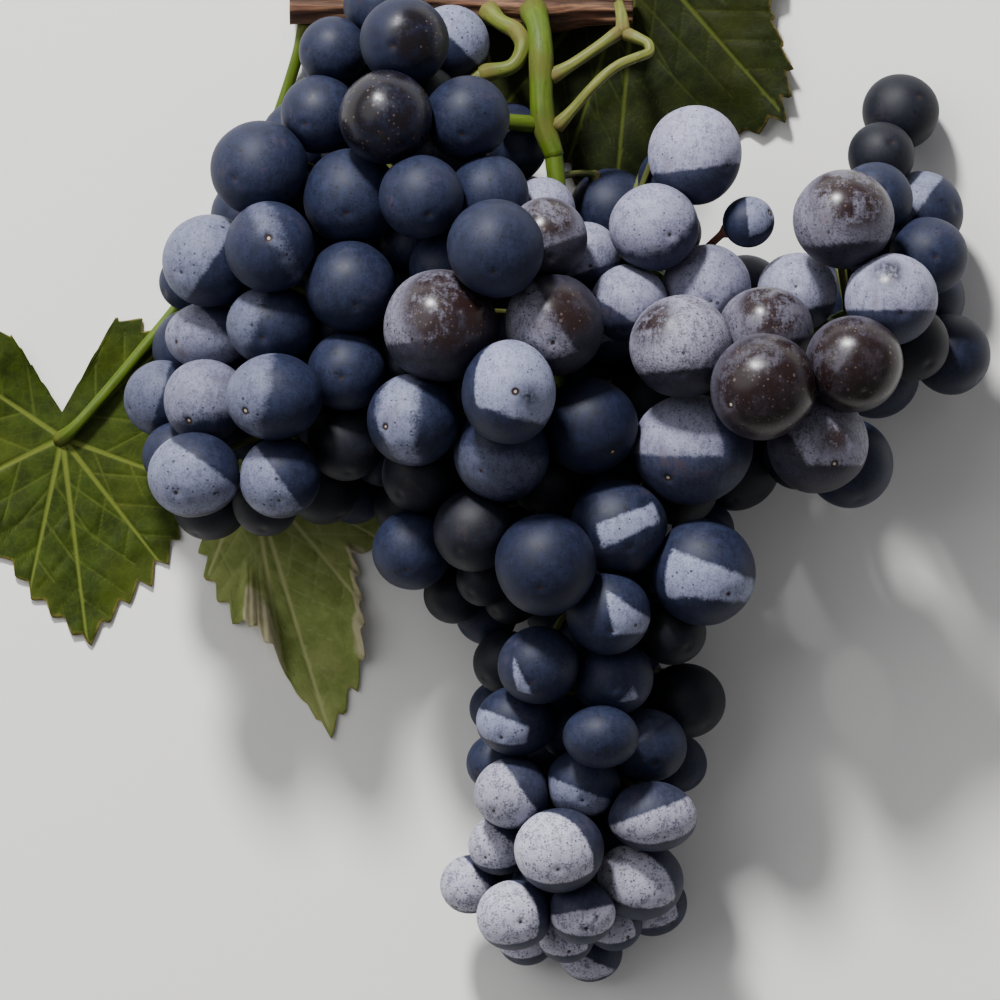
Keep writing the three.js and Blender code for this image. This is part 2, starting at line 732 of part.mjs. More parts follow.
// A round stem along a curve, tapered from one end to the other
function taperedStem({ route, diameters, steps }) {
  const curve = stemCurve(route);
  const section = new THREE.Shape();
  for (let side = 0; side < stemSides; side += 1) {
    const angle = (side * 2 * Math.PI) / stemSides;
    section[side ? "lineTo" : "moveTo"](Math.cos(angle), Math.sin(angle));
  }
  const tube = new THREE.ExtrudeGeometry(section, { steps, extrudePath: curve, bevelEnabled: false });
  const centres = curve.getSpacedPoints(steps);
  const corners = tube.attributes.position;
  const corner = new THREE.Vector3();
  for (let index = 0; index < corners.count; index += 1) {
    corner.fromBufferAttribute(corners, index);
    const far = centres.map((centre) => centre.distanceTo(corner));
    const ring = far.indexOf(Math.min(...far));
    const radius = (diameters[0] + ((diameters[1] - diameters[0]) * ring) / steps) / 2;
    corner.sub(centres[ring]).multiplyScalar(radius).add(centres[ring]);
    corners.setXYZ(index, corner.x, corner.y, corner.z);
  }
  return closed(tube);
}

// A length of cane with a swollen node where the stalks leave it
function cane() {
  const radius = caneDiameter / 2;
  const length = caneRightX - caneLeftX;
  const middle = caneShape.map(([thickness, along]) => [radius * thickness, along - caneLeftX]);
  const tip = radius * caneEndThickness;
  const profile = [[0, 0], [radius, 0], ...middle, [tip, length], [0, length]];
  const body = new THREE.LatheGeometry(profile.map((point) => new THREE.Vector2(...point)), caneSides);
  body.rotateZ(-Math.PI / 2);
  body.rotateX(Math.PI / caneSides);
  body.translate(caneLeftX, caneY, caneZ);
  return closed(body);
}

// The cut stub of a lost side stem, on the left of the stalk's node
function stub() {
  return rod(stubBase, stubTip, stubDiameter / 2);
}

function leafSolid({ joint, outline }) {
  const shape = new THREE.Shape();
  outline.forEach(([angle, reach], index) => {
    const bearing = (angle * Math.PI) / 180;
    shape[index ? "lineTo" : "moveTo"](Math.cos(bearing) * reach, Math.sin(bearing) * reach);
  });
  const blade = new THREE.ExtrudeGeometry(shape, { depth: bladeThickness, bevelEnabled: false });
  blade.translate(joint[0], joint[1], 0);
  return closed(blade);
}

// The lone berry, with its stem down to the berry nearest to it
function loneBerrySolid(others) {
  const lone = { place: loneBerry.at, radius: loneBerry.diameter / 2, sides: smallSides };
  const { inner } = nearestPair(others, [lone]);
  const far = farBetween(inner.place, lone.place);
  const way = lone.place.map((value, axis) => (value - inner.place[axis]) / far);
  const foot = skinReach(inner, way) + seatSlack;
  const stemEnd = inner.place.map((value, axis) => value + way[axis] * foot);
  return toSolid(berryGeometry(lone)).add(toSolid(rod(lone.place, stemEnd, loneBerry.stemDiameter / 2)));
}

// Everything together
const shown = rows.flatMap(rowBerries);
const back = backBerries(shown);
const flank = flankBerries([...shown, ...back]);
const behind = [...back, ...flank, ...coreBerries(shown, [...back, ...flank])];
const hidden = behind.filter(({ home }) => {
  return openGaps.every(({ at, radius }) => farBetween(home.slice(0, 2), at) > radius);
});
const berries = [...shown, ...hidden];
settle(berries);

const berryPieces = berries.map(({ place, radius }) => ({ from: place, to: place, radius }));
const obstacles = [...stemPieces(), ...berryPieces];
const names = [...new Set(shown.map((berry) => berry.node))];
const nodes = names.map((name) => shown.filter((berry) => berry.node === name));
hiddenNodes(hidden).forEach((members, index) => {
  names.push(`hidden_${index + 1}`);
  nodes.push(members);
});
nodes.forEach(linkNode);
seatNodes(nodes);
nodes.forEach((members, index) => {
  addPart(`berries_${names[index]}`, toGeometry(nodeSolid(members)), berrySkin);
});
addPart("berry_lone", toGeometry(loneBerrySolid(nodes.flat())), berrySkin);
for (const stem of stemRoutes) {
  addPart(stem.name, taperedStem(stem), stem.name.startsWith("tendril") ? tendrilSkin : greenStem);
}
addPart("cane", cane(), caneBark);
addPart("stalk_stub", closed(stub()), greenStem);
for (const leaf of leaves) {
  addPart(leaf.name, leafSolid(leaf), leafBlade);
}

// The middle of the underside comes to the origin
const box = new THREE.Box3().setFromObject(bunch);
const middle = box.getCenter(new THREE.Vector3());
bunch.position.set(-middle.x, -middle.y, -box.min.z);

export default bunch;
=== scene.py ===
"""A cut bunch of dark grapes with its stalk, tendril, cane and leaves, lying on its back under soft light."""
import math
import random

import bpy
import numpy as np
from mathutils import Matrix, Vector


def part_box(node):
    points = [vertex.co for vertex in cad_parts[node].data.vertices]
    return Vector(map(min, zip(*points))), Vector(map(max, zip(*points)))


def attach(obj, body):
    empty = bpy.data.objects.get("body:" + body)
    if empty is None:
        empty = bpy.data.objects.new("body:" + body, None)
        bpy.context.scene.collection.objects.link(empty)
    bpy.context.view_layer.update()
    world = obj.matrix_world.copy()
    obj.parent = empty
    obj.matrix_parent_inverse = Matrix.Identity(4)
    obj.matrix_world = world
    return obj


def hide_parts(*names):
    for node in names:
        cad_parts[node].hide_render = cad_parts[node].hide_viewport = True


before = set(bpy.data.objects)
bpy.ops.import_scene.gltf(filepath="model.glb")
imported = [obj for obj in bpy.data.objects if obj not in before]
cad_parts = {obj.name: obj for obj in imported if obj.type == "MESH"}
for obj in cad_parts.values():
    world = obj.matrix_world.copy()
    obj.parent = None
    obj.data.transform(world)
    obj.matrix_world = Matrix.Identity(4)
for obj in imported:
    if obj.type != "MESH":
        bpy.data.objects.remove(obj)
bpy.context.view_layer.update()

# Tables of places and sizes are in millimetres, as the part is drawn, and MM turns them into metres.
MM = 0.001
SEED = 7
TINY = 1e-12

# Cane
CANE_DIAMETER = 8.6
CANE_Y = 95.6
CANE_LEFT_X = -49.0
CANE_RIGHT_X = 17.0
CANE_Z = 6.4
CANE_NODE_SWELL = 1.18

# Stalks
STALK_DIAMETER = 4.4
RACHIS_DIAMETER = 3.0
RACHIS_TIP_DIAMETER = 1.6
SIDE_STALK_DIAMETER = 2.4
TENDRIL_DIAMETER = 2.1
TENDRIL_RISER_DIAMETER = 2.4
TENDRIL_THIN_DIAMETER = 1.9
PETIOLE_DIAMETER = 2.2
STUB_DIAMETER = 3.4
STUB_BASE = (-2.9, 71.9, 22.6)
STUB_TIP = (-7.6, 72.3, 25.4)

# Packing of the berries
BLADE_THICKNESS = 1.0
BLADE_SECTOR = 35.0
BLADE_MARGIN = 5.0
SEAT_GAP = 0.3
BERRY_GAP = 0.2
SIDEWAYS_SHARE = 0.3
HOME_PULL = 0.25
HEIGHT_PULL = 0.03
SETTLE_ROUNDS = 320
FINISH_ROUNDS = 120
NEARBY = 9.0
STEM_NEARBY = 20.0

# Fill behind the berries that show
BACK_TOP = 84
BACK_LEFT = -72
BACK_COURSES = 13
BACK_STEPS = 12
BACK_SPACING = 17
BACK_COURSE_STEP = 15
BACK_DIAMETER = 15.6
BACK_INSET = 8.6
FLANK_SPACING = 19
FLANK_DIAMETER = 14.6
FLANK_INSET = 9.5
FLANK_HEIGHT = 0.5
FLANK_SHARED = 4
CORE_SPACING = 3
CORE_DIAMETER = 11.4
CORE_HEIGHT = 0.5
CORE_OPEN = 0.92
CORE_REACH = 11
CORE_SECTORS = 6
CORE_CROWDING = 0.72
CROWDING = 0.8
EDGE_FALL = 0.42
LOWEST_HOME = 9

# The lobes of the bunch: both ends of a core line, the half width round it and the height at both ends
LOBES = [
    ((-30, 78), (-56, 7), 26, (34, 35)),
    ((-8, 46), (-4, 2), 32, (44, 45)),
    ((34, 42), (58, 33), 30, (42, 42)),
    ((-4, -2), (14, -22), 25, (42, 34)),
    ((9, -30), (4, -70), 19, (32, 24)),
]

# Rows of berries: node, start, end, bow to the left, how far both ends stand proud, diameters, looks
ROWS = [
    ("left_wing_edge", (-64, 45), (-66.5, 5.5), 1, (-1, -1), (17, 14.4, 15.2, 16.2), "mppm"),
    ("left_wing_middle", (-53, 62.5), (-50.5, 5), 0, (0, 3), (17.5, 16.3, 15.4, 16.8, 14.6), "sssmm"),
    ("left_wing_inner", (-43, 73.5), (-37, 40), 2.5, (-3, 0), (14.2, 17.5, 16.4), "sss"),
    ("left_wing_under", (-37, 24.5), (-64, 0), 11, (-5, -14), (14.4, 14.4, 13.7, 12, 14.2), "snnnn"),
    ("left_wing_brow", (-40.4, 85.5), (-22, 57.5), 2, (-4, 3), (12.6, 17, 15.2), "sos"),
    ("left_wing_top", (-26.5, 85.5), (-8.5, 57), 2.4, (3, -4), (16.3, 15.4, 14.4), "oss"),
    ("left_wing_top", (-18, 87), (-22, 76), 0, (-10, -13), (14.2, 12), "mn"),
    ("left_wing_tip", (-68, 41.5), (-58, 40), 0, (-12, -12), (11, 11), "ss"),
    ("left_wing_far", (-73, 19.5), (-70.5, 9), 0, (-9, -13), (13.7, 12), "ss"),
    ("centre_left", (-20, 44), (-25.5, 28.5), -3.6, (-8, -9), (12.5, 15.6, 13.6), "ssn"),
    ("centre_top", (-9.5, 47), (6.5, 48), 2.4, (6, -16), (17.5, 14.8, 12.2), "swp"),
    ("centre_top", (0.5, 54), (-7, 52), 0, (-8, -20), (11.8, 10.6), "pn"),
    ("centre_largest", (-19.5, 33), (-19.5, 33), 0, (6, 6), (20.5,), "g"),
    ("centre_right", (1.5, 33.5), (1.5, 33.5), 0, (5, 5), (18.2,), "b"),
    ("centre_right_behind", (9, 35), (9, 35), 0, (-11, -11), (14.2,), "p"),
    ("centre_middle", (-7, 20.5), (-8, 9), 0, (8, -3), (17.9, 17.5), "ms"),
    ("centre_middle", (-12, 18), (0, 4), 0, (-9, -12), (12.5, 13), "nn"),
    ("centre_low_left", (-24.5, 15), (-24.5, 15), 0, (0, 0), (16.7,), "m"),
    ("centre_low_right", (8, 14), (19, 19), 0, (1, -13), (17.5, 13.4), "en"),
    ("right_wing_brow", (28.5, 65.5), (16, 37.5), -1.5, (4, -1), (17.3, 16, 14.1), "ppp"),
    ("right_wing_brow", (24, 61.5), (24, 51), 0, (-10, -12), (11.6, 11.4), "sn"),
    ("right_wing_rise", (48, 39.5), (40.5, 22), -3, (-7, 6), (14.4, 16.3, 19), "pwd"),
    ("right_wing_inner", (31, 40), (25.5, 29.5), 0, (-4, 4), (16.3, 18.6), "pb"),
    ("right_wing_foot", (28, 9.5), (26, 2.5), 0, (5, -10), (20.9, 14), "pn"),
    ("right_wing_top", (57, 53), (65.5, 38.5), 0, (3, -1), (18.2, 16.7), "wp"),
    ("right_wing_far", (63, 57), (68.5, 74.5), 1.2, (-7, -9), (13.7, 12.2, 14), "snn"),
    ("right_wing_far", (72, 55), (72, 55), 0, (-9, -9), (15,), "m"),
    ("right_wing_far", (73, 46.5), (70, 30), -2, (-9, -9), (14.4, 13.6), "sn"),
    ("right_wing_front", (58, 25), (38.5, 6), 6, (4, -9), (17.5, 18.2, 17), "dbn"),
    ("right_wing_front", (56, 7.5), (47.5, 8), 0, (-9, -14), (16, 12.9), "sn"),
    ("waist_left", (-23, 5), (-17.5, -18), -3.6, (-6, -13), (13.7, 14.4, 10.8), "nsn"),
    ("waist_left", (-26.5, -1), (-18, -1), 0, (-15, -16), (10.8, 11.6), "nn"),
    ("waist_front", (-13.5, -6), (14, -5.5), -6.2, (-5, 2), (14.8, 18.2, 17.5), "nem"),
    ("waist_right", (29.5, -14.5), (12, -21.5), 0, (3, 3), (19, 15.2), "mm"),
    ("waist_low", (-11.5, -15), (-6.5, -18.5), 0, (-12, -13), (10, 10), "nn"),
    ("tail_right_behind", (23.5, -25), (25, -50.5), 0, (-9, -8), (12.2, 14, 11.4), "nns"),
    ("tail_left_behind", (-7, -31), (-7, -50.5), 0.5, (-9, -8), (11.8, 10.6, 11), "nss"),
    ("tail_left", (-1.5, -32), (-6.3, -54), -1, (3, 3), (14.4, 13.6, 13.4), "mmt"),
    ("tail_left", (-8.5, -66), (-14, -73.5), 0, (-3, 0), (11.2, 10.8), "tt"),
    ("tail_middle", (12.5, -34), (7, -54), 1, (4, 2), (14, 12.6, 13), "mmm"),
    ("tail_belly", (3, -66.5), (-5.5, -79), 0, (5, 3), (15.8, 13.4), "tt"),
    ("tail_right", (20, -47.5), (17.5, -73), 1.5, (1, 0), (13.8, 14.4, 15.2), "stt"),
    ("tail_end", (7, -78.5), (9.5, -86), 0, (0, -5), (11.8, 11.2), "tt"),
    ("tail_end", (-2.5, -83.5), (20, -77), -2, (-8, -6), (10.3, 10, 10.4, 12.2), "tttt"),
]

# The small berry that hangs apart above the right wing
LONE_AT = (38.8, 53, 33)
LONE_DIAMETER = 9.3
LONE_STEM_DIAMETER = 1.5

# The open gaps behind that berry and below the left wing, where no berry lies: middle and radius
OPEN_GAPS = [((43, 62), 17), ((-54, -12), 10)]

# Stems: node, points of the route, diameter at both ends, steps
STEMS = [
    ("main_stalk",
     [(-2, 93.4, 11.9), (-1.1, 90.2, 17.2), (-0.7, 85.5, 20), (-0.6, 76, 22), (0, 71.3, 22.4),
      (1.6, 66.5, 23)],
     (STALK_DIAMETER, STALK_DIAMETER), 7),
    ("rachis_upper", [(1.7, 66, 23), (2.4, 59, 23.5), (2.6, 45, 24), (2.5, 20, 24), (5, 0, 22)],
     (RACHIS_DIAMETER, RACHIS_DIAMETER), 6),
    ("rachis_lower", [(5.1, -0.6, 22), (9, -20, 18), (9, -45, 14.5), (4, -66, 11), (2, -80, 9)],
     (RACHIS_DIAMETER, RACHIS_TIP_DIAMETER), 6),
    ("left_wing_loop",
     [(-10.3, 93.4, 12), (-8.4, 91.6, 15), (-5.2, 89.5, 17.4), (-4.2, 86.8, 18.8), (-6, 83.2, 19.8),
      (-11.4, 81.7, 20)],
     (SIDE_STALK_DIAMETER, SIDE_STALK_DIAMETER), 7),
    ("left_wing_stalk", [(-11.9, 81.5, 20), (-24, 72, 20.5), (-38, 50, 20.5), (-50, 16, 19)],
     (SIDE_STALK_DIAMETER, RACHIS_TIP_DIAMETER), 5),
    ("right_wing_stalk", [(4.6, 49, 24), (14, 47.2, 24.6), (29, 38, 22), (46, 31, 21), (58, 36, 21)],
     (SIDE_STALK_DIAMETER, RACHIS_TIP_DIAMETER), 6),
    ("tendril_upper_arm", [(2, 81.4, 21), (5.7, 83.6, 20.5), (10.5, 86.9, 19.5), (13.6, 89.1, 18.5)],
     (TENDRIL_DIAMETER, TENDRIL_DIAMETER), 3),
    ("tendril_riser", [(15, 90.1, 17.8), (14.8, 92.6, 15.6), (14.4, 94.6, 12.6)],
     (TENDRIL_RISER_DIAMETER, TENDRIL_DIAMETER), 3),
    ("tendril_lower_arm",
     [(2.9, 72, 23), (5.7, 75, 23.5), (8.6, 78.3, 24), (11.4, 81.1, 24), (14.3, 83.2, 23.5),
      (17.6, 84.6, 22.5)],
     (TENDRIL_THIN_DIAMETER, TENDRIL_THIN_DIAMETER), 5),
    ("tendril_hook",
     [(18.2, 84.8, 22.4), (20, 85.7, 21.6), (19.8, 87.2, 20.6), (18.2, 88.2, 19.6), (16.3, 89, 18.6)],
     (TENDRIL_THIN_DIAMETER, TENDRIL_DIAMETER), 5),
    ("low_leaf_petiole",
     [(-30, 90.6, 5), (-33, 80, 1.8), (-44, 55, 1.2), (-53, 32, 2.2), (-57, 20, 2.5), (-57, 7, 2.5)],
     (PETIOLE_DIAMETER, PETIOLE_DIAMETER), 6),
    ("left_leaf_petiole",
     [(-46, 90.6, 5.2), (-50, 78, 1.8), (-57, 60, 1.2), (-68, 41, 2.2), (-80, 26, 2.5), (-91, 13.5, 2.5)],
     (PETIOLE_DIAMETER, PETIOLE_DIAMETER), 6),
    ("top_leaf_petiole", [(1.5, 102, 7.6), (6, 104.6, 6), (12, 106.2, 3.6), (17, 106.5, 2.5)],
     (PETIOLE_DIAMETER, PETIOLE_DIAMETER), 4),
]

# Leaves: node, the point where the petiole joins, outline as directions in degrees with the reach from it
LEAVES = [
    ("top_leaf", (18, 106.5),
     [(-95, 58), (-86, 45), (-80, 36), (-59, 42), (-49, 43), (-38, 37.5), (-25, 28), (2, 32), (30, 27),
      (62, 24), (80, 6), (106, 22), (140, 27), (176, 34), (200, 30), (221, 42), (230, 49), (241, 40),
      (252, 44)]),
    ("low_leaf", (-57, 6),
     [(-73, 54), (-63, 46), (-54, 42), (-46, 34), (-36, 28), (-24, 30), (-6, 24), (28, 22), (66, 19), (92, 5),
      (128, 15), (168, 13), (206, 12), (230, 15), (249, 22.5), (266, 30), (280, 41)]),
    ("left_leaf", (-93, 12),
     [(-83, 40), (-70, 34), (-58, 32), (-44, 30), (-29, 27), (-10, 21), (14, 24), (42, 29), (66, 26),
      (90, 5), (116, 23), (146, 28), (178, 22), (206, 28), (236, 24), (260, 31)]),
]

# Where the working tables sit in the frame, read off the cane, whose axis is known in both
cane_low, cane_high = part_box("cane")
SHIFT = np.array([
    cane_low.x - CANE_LEFT_X * MM,
    (cane_low.y + cane_high.y) / 2 - CANE_Y * MM,
    (cane_low.z + cane_high.z) / 2 - CANE_Z * MM,
])


def placed(points):
    """Points of the working tables, in millimetres, as places in the frame, in metres."""
    return np.asarray(points, float) * MM + SHIFT


def ease(low, high, value):
    """0 below low, 1 above high and smooth between."""
    share = np.clip((np.asarray(value, float) - low) / (high - low), 0, 1)
    return share * share * (3 - 2 * share)


def unit(vectors):
    vectors = np.asarray(vectors, float)
    return vectors / np.maximum(np.linalg.norm(vectors, axis=-1, keepdims=True), TINY)


# Ripples: how many waves are added, how much longer than a feature each is, and the range that is kept
WAVES = 7
WAVE_LENGTHS = (1.2, 2.6)
WAVE_RANGE = 0.42

# Spots of a curve between which its length is measured
CURVE_SAMPLES = 200


def ripple(points, seed, size):
    """Smooth, seeded unevenness from 0 to 1, with features of about the given size."""
    dice = np.random.default_rng(seed)
    total = np.zeros(len(points))
    for _ in range(WAVES):
        way = unit(dice.normal(size=3))
        pace = 2 * math.pi / (size * dice.uniform(*WAVE_LENGTHS))
        total += np.sin(points @ way * pace + dice.uniform(0, 2 * math.pi))
    return ease(-WAVE_RANGE * WAVES, WAVE_RANGE * WAVES, total)


def curve_point(points, share):
    """A point of the centripetal curve through the points, at a share of their count."""
    last = len(points) - 1
    whole = min(int(math.floor(last * share)), last - 1)
    part = last * share - whole
    p1, p2 = points[whole], points[whole + 1]
    p0 = points[whole - 1] if whole > 0 else 2 * points[0] - points[1]
    p3 = points[whole + 2] if whole + 2 <= last else 2 * points[last] - points[last - 1]
    d0, d1, d2 = (math.sqrt(np.linalg.norm(b - a)) for a, b in ((p0, p1), (p1, p2), (p2, p3)))
    t1 = ((p1 - p0) / d0 - (p2 - p0) / (d0 + d1) + (p2 - p1) / d1) * d1
    t2 = ((p2 - p1) / d1 - (p3 - p1) / (d1 + d2) + (p3 - p2) / d2) * d1
    c2 = -3 * p1 + 3 * p2 - 2 * t1 - t2
    c3 = 2 * p1 - 2 * p2 + t1 + t2
    return p1 + t1 * part + c2 * part ** 2 + c3 * part ** 3


def gone_along(path):
    """Distance along a path to each of its points."""
    return np.concatenate([[0], np.cumsum(np.linalg.norm(np.diff(path, axis=0), axis=1))])


def smooth_route(route, steps):
    """steps + 1 points along the centripetal curve through the route."""
    points = [np.array(point, float) for point in route]
    fine = np.array([curve_point(points, step / CURVE_SAMPLES) for step in range(CURVE_SAMPLES + 1)])
    gone = gone_along(fine)
    wanted = np.linspace(0, gone[-1], steps + 1)
    shares = np.interp(wanted, gone, np.linspace(0, 1, CURVE_SAMPLES + 1))
    return np.array([curve_point(points, share) for share in shares])


# Packing of the berries: the same places as the part's own
def nearest_on_segment(point, start, end):
    """The share along a segment, the place and the distance of its point nearest to a point."""
    along = [b - a for a, b in zip(start, end)]
    length2 = sum(value * value for value in along)
    dot = sum(step * (p - a) for step, p, a in zip(along, point, start))
    share = min(max(dot / length2, 0), 1) if length2 > 0 else 0
    foot = [a + step * share for a, step in zip(start, along)]
    return share, foot, math.dist(foot, point)


def dome_height(x, y):
    """Height of the middles of the berries that show, over a spot."""
    best = LOWEST_HOME
    for start, end, half, crown in LOBES:
        share, _, away = nearest_on_segment((x, y), start, end)
        height = crown[0] + (crown[1] - crown[0]) * share
        best = max(best, height * (1 - EDGE_FALL * (away / half) ** 2))
    return best


def ground_height(x, y):
    """Height of the leaf blades under the berries, in millimetres."""
    ground = 0
    for _, joint, outline in LEAVES:
        bearing = math.degrees(math.atan2(y - joint[1], x - joint[0]))
        reach = math.hypot(x - joint[0], y - joint[1])
        near = [far for angle, far in outline if abs((angle - bearing + 180) % 360 - 180) < BLADE_SECTOR]
        if reach < max([0, *near]) + BLADE_MARGIN:
            ground = BLADE_THICKNESS + SEAT_GAP
    return ground


class Berry:
    """A berry's node, home and settled place, in millimetres, and its look."""

    def __init__(self, node, home, diameter, look):
        self.node = node
        self.index = 0
        self.radius = diameter / 2
        height = max(home[2], self.radius + ground_height(home[0], home[1]))
        self.home = [home[0], home[1], height]
        self.place = list(self.home)
        self.look = look

    @property
    def key(self):
        return self.node, self.index


def row_berries(node, start, end, bow, rise, diameters, looks):
    """The berries of one row, spaced by their sizes along a bowed line."""
    steps = [(second + first) / 2 for first, second in zip(diameters, diameters[1:])]
    total = sum(steps) or 1
    run_x, run_y = end[0] - start[0], end[1] - start[1]
    run = math.hypot(run_x, run_y) or 1
    made = []
    for index, diameter in enumerate(diameters):
        share = sum(steps[:index]) / total
        side = 4 * bow * share * (1 - share)
        x = start[0] + run_x * share - (run_y / run) * side
        y = start[1] + run_y * share + (run_x / run) * side
        z = dome_height(x, y) + rise[0] + (rise[1] - rise[0]) * share
        made.append(Berry(node, (x, y, z), diameter, looks[index]))
    return made


def crowded(berry, others, limit=CROWDING):
    """Whether a berry's home lies deep in another berry."""
    return any(math.dist(berry.home, o.home) < (berry.radius + o.radius) * limit for o in others)


def lobe_distance(spot, lobe):
    return nearest_on_segment(spot, lobe[0], lobe[1])[2]


def back_berries(taken):
    """Courses of hidden berries on the floor, inside the bunch's outline."""
    found = []
    for course in range(BACK_COURSES):
        y = BACK_TOP - course * BACK_COURSE_STEP
        for step in range(BACK_STEPS):
            x = BACK_LEFT + (step + (course % 2) / 2) * BACK_SPACING
            inside = any(lobe_distance((x, y), lobe) < lobe[2] - BACK_INSET for lobe in LOBES)
            berry = Berry("hidden", (x, y, 0), BACK_DIAMETER, "h")
            if inside and not crowded(berry, taken):
                found.append(berry)
    return found


def flank_spots(lobe):
    """Evenly spaced spots round a lobe, just inside its outline."""
    start, end, half, _ = lobe
    radius = half - FLANK_INSET
    heading = math.atan2(end[1] - start[1], end[0] - start[0])
    straight = math.dist(start, end)
    lap = straight + math.pi * radius
    count = math.floor(2 * lap / FLANK_SPACING + 0.5)
    spots = []
    for index in range(count):
        gone = index * 2 * lap / count
        far_side = gone >= lap
        gone -= lap if far_side else 0
        back = math.pi if far_side else 0
        corner = end if far_side else start
        along = min(gone, straight)
        side = heading + back - math.pi / 2 + max(gone - straight, 0) / radius
        spots.append((
            corner[0] + math.cos(heading + back) * along + math.cos(side) * radius,
            corner[1] + math.sin(heading + back) * along + math.sin(side) * radius,
        ))
    return spots


def flank_berries(taken):
    """Hidden berries round the lobes, half way up."""
    found = []
    for lobe in LOBES:
        for x, y in flank_spots(lobe):
            in_other = any(o is not lobe and lobe_distance((x, y), o) < o[2] - FLANK_SHARED for o in LOBES)
            berry = Berry("hidden", (x, y, dome_height(x, y) * FLANK_HEIGHT), FLANK_DIAMETER, "h")
            if not in_other and not crowded(berry, taken + found):
                found.append(berry)
    return found


def grid_spots(lobe):
    """Spots of a square grid inside a lobe's outline."""
    start, end, half, _ = lobe
    spots = []
    y = max(start[1], end[1]) + half
    while y > min(start[1], end[1]) - half:
        x = min(start[0], end[0]) - half
        while x < max(start[0], end[0]) + half:
            if lobe_distance((x, y), lobe) < half:
                spots.append((x, y))
            x += CORE_SPACING
        y -= CORE_SPACING
    return spots


def enclosed(x, y, shown):
    """Whether berries stand round a spot on all sides, a little way off."""
    filled = set()
    for berry in shown:
        dx, dy = berry.home[0] - x, berry.home[1] - y
        if math.hypot(dx, dy) < berry.radius + CORE_REACH:
            filled.add(math.floor((math.atan2(dy, dx) / math.pi + 1) / 2 * CORE_SECTORS) % CORE_SECTORS)
    return len(filled) >= CORE_SECTORS - 1


def core_berries(shown, behind):
    """Small hidden berries that close the gaps between the berries that show."""
    found = []
    for lobe in LOBES:
        for x, y in grid_spots(lobe):
            cover = shown + behind + found
            if any(math.hypot(x - b.home[0], y - b.home[1]) <= b.radius * CORE_OPEN for b in cover):
                continue
            berry = Berry("hidden", (x, y, dome_height(x, y) * CORE_HEIGHT), CORE_DIAMETER, "h")
            if enclosed(x, y, shown) and not crowded(berry, shown, CORE_CROWDING):
                found.append(berry)
    return found


def stem_pieces():
    """The cane, the stub, the lone berry and the stems as straight pieces that the berries keep clear of."""
    swell = CANE_DIAMETER / 2 * CANE_NODE_SWELL
    pieces = [
        ((CANE_LEFT_X, CANE_Y, CANE_Z), (CANE_RIGHT_X, CANE_Y, CANE_Z), swell),
        (STUB_BASE, STUB_TIP, STUB_DIAMETER / 2),
        (LONE_AT, LONE_AT, LONE_DIAMETER / 2),
    ]
    for _, route, diameters, steps in STEMS:
        points = [tuple(point) for point in smooth_route(route, steps)]
        pieces += [(a, b, max(diameters) / 2) for a, b in zip(points, points[1:])]
    return pieces


def part_pair(first, second, sideways):
    """Moves two berries apart, mostly up and down, so that each keeps its place seen from above."""
    a, b = first.place, second.place
    gx, gy, gz = a[0] - b[0], a[1] - b[1], a[2] - b[2]
    short = first.radius + second.radius + BERRY_GAP - math.sqrt(gx * gx + gy * gy + gz * gz)
    if short <= 0:
        return
    gx, gy = gx * sideways, gy * sideways
    half = short * 0.5 / (math.sqrt(gx * gx + gy * gy + gz * gz) or 1)
    for axis, gap in enumerate((gx, gy, gz)):
        a[axis] += gap * half
        b[axis] -= gap * half


def clear_stem(berry, piece):
    """Moves a berry straight out of a piece of stem."""
    _, foot, away = nearest_on_segment(berry.place, piece[0], piece[1])
    short = berry.radius + piece[2] + SEAT_GAP + BERRY_GAP - away
    if short > 0:
        for axis in range(3):
            berry.place[axis] += (berry.place[axis] - foot[axis]) / (away or 1) * short


def settle(berries):
    """Parts the berries from each other, the stems and the floor, and draws them home meanwhile."""
    pairs = []
    for index, first in enumerate(berries):
        for second in berries[index + 1:]:
            flat = math.dist(first.home[:2], second.home[:2])
            if flat < first.radius + second.radius + NEARBY:
                pairs.append((first, second))
    pieces = stem_pieces()
    close = [
        [p for p in pieces if nearest_on_segment(b.home, p[0], p[1])[2] < b.radius + p[2] + STEM_NEARBY]
        for b in berries
    ]
    for turn in range(SETTLE_ROUNDS + FINISH_ROUNDS):
        finishing = turn >= SETTLE_ROUNDS
        if not finishing:
            for berry in berries:
                for axis, pull in enumerate((HOME_PULL, HOME_PULL, HEIGHT_PULL)):
                    berry.place[axis] += (berry.home[axis] - berry.place[axis]) * pull
        for first, second in pairs:
            part_pair(first, second, 1 if finishing else SIDEWAYS_SHARE)
        for berry, near in zip(berries, close):
            for piece in near:
                clear_stem(berry, piece)
            floor = berry.radius + ground_height(berry.place[0], berry.place[1])
            berry.place[2] = max(berry.place[2], floor)


def packed_berries():
    """The berries that show and the hidden ones behind them, at their settled places."""
    shown = [berry for row in ROWS for berry in row_berries(*row)]
    back = back_berries(shown)
    flank = flank_berries(shown + back)
    behind = back + flank + core_berries(shown, back + flank)
    hidden = [b for b in behind if all(math.dist(b.home[:2], at) > reach for at, reach in OPEN_GAPS)]
    everything = shown + hidden
    settle(everything)
    return everything


# How the part deals its hidden berries out to nodes
HIDDEN_NODE_SIZE = 14
SMALLEST_HIDDEN_NODE = 4
TOUCHING = 2.8
LINK_CLEAR = 2.4


def blocked(inner, outer, obstacles):
    """Whether a stem or another berry stands too near to the spot where two berries are linked."""
    far = math.dist(inner.place, outer.place)
    part = (inner.radius + far - outer.radius) / 2 / far
    spot = [a + (b - a) * part for a, b in zip(inner.place, outer.place)]
    for start, end, radius in obstacles:
        own = start is inner.place or start is outer.place
        if not own and nearest_on_segment(spot, start, end)[2] < radius + LINK_CLEAR:
            return True
    return False


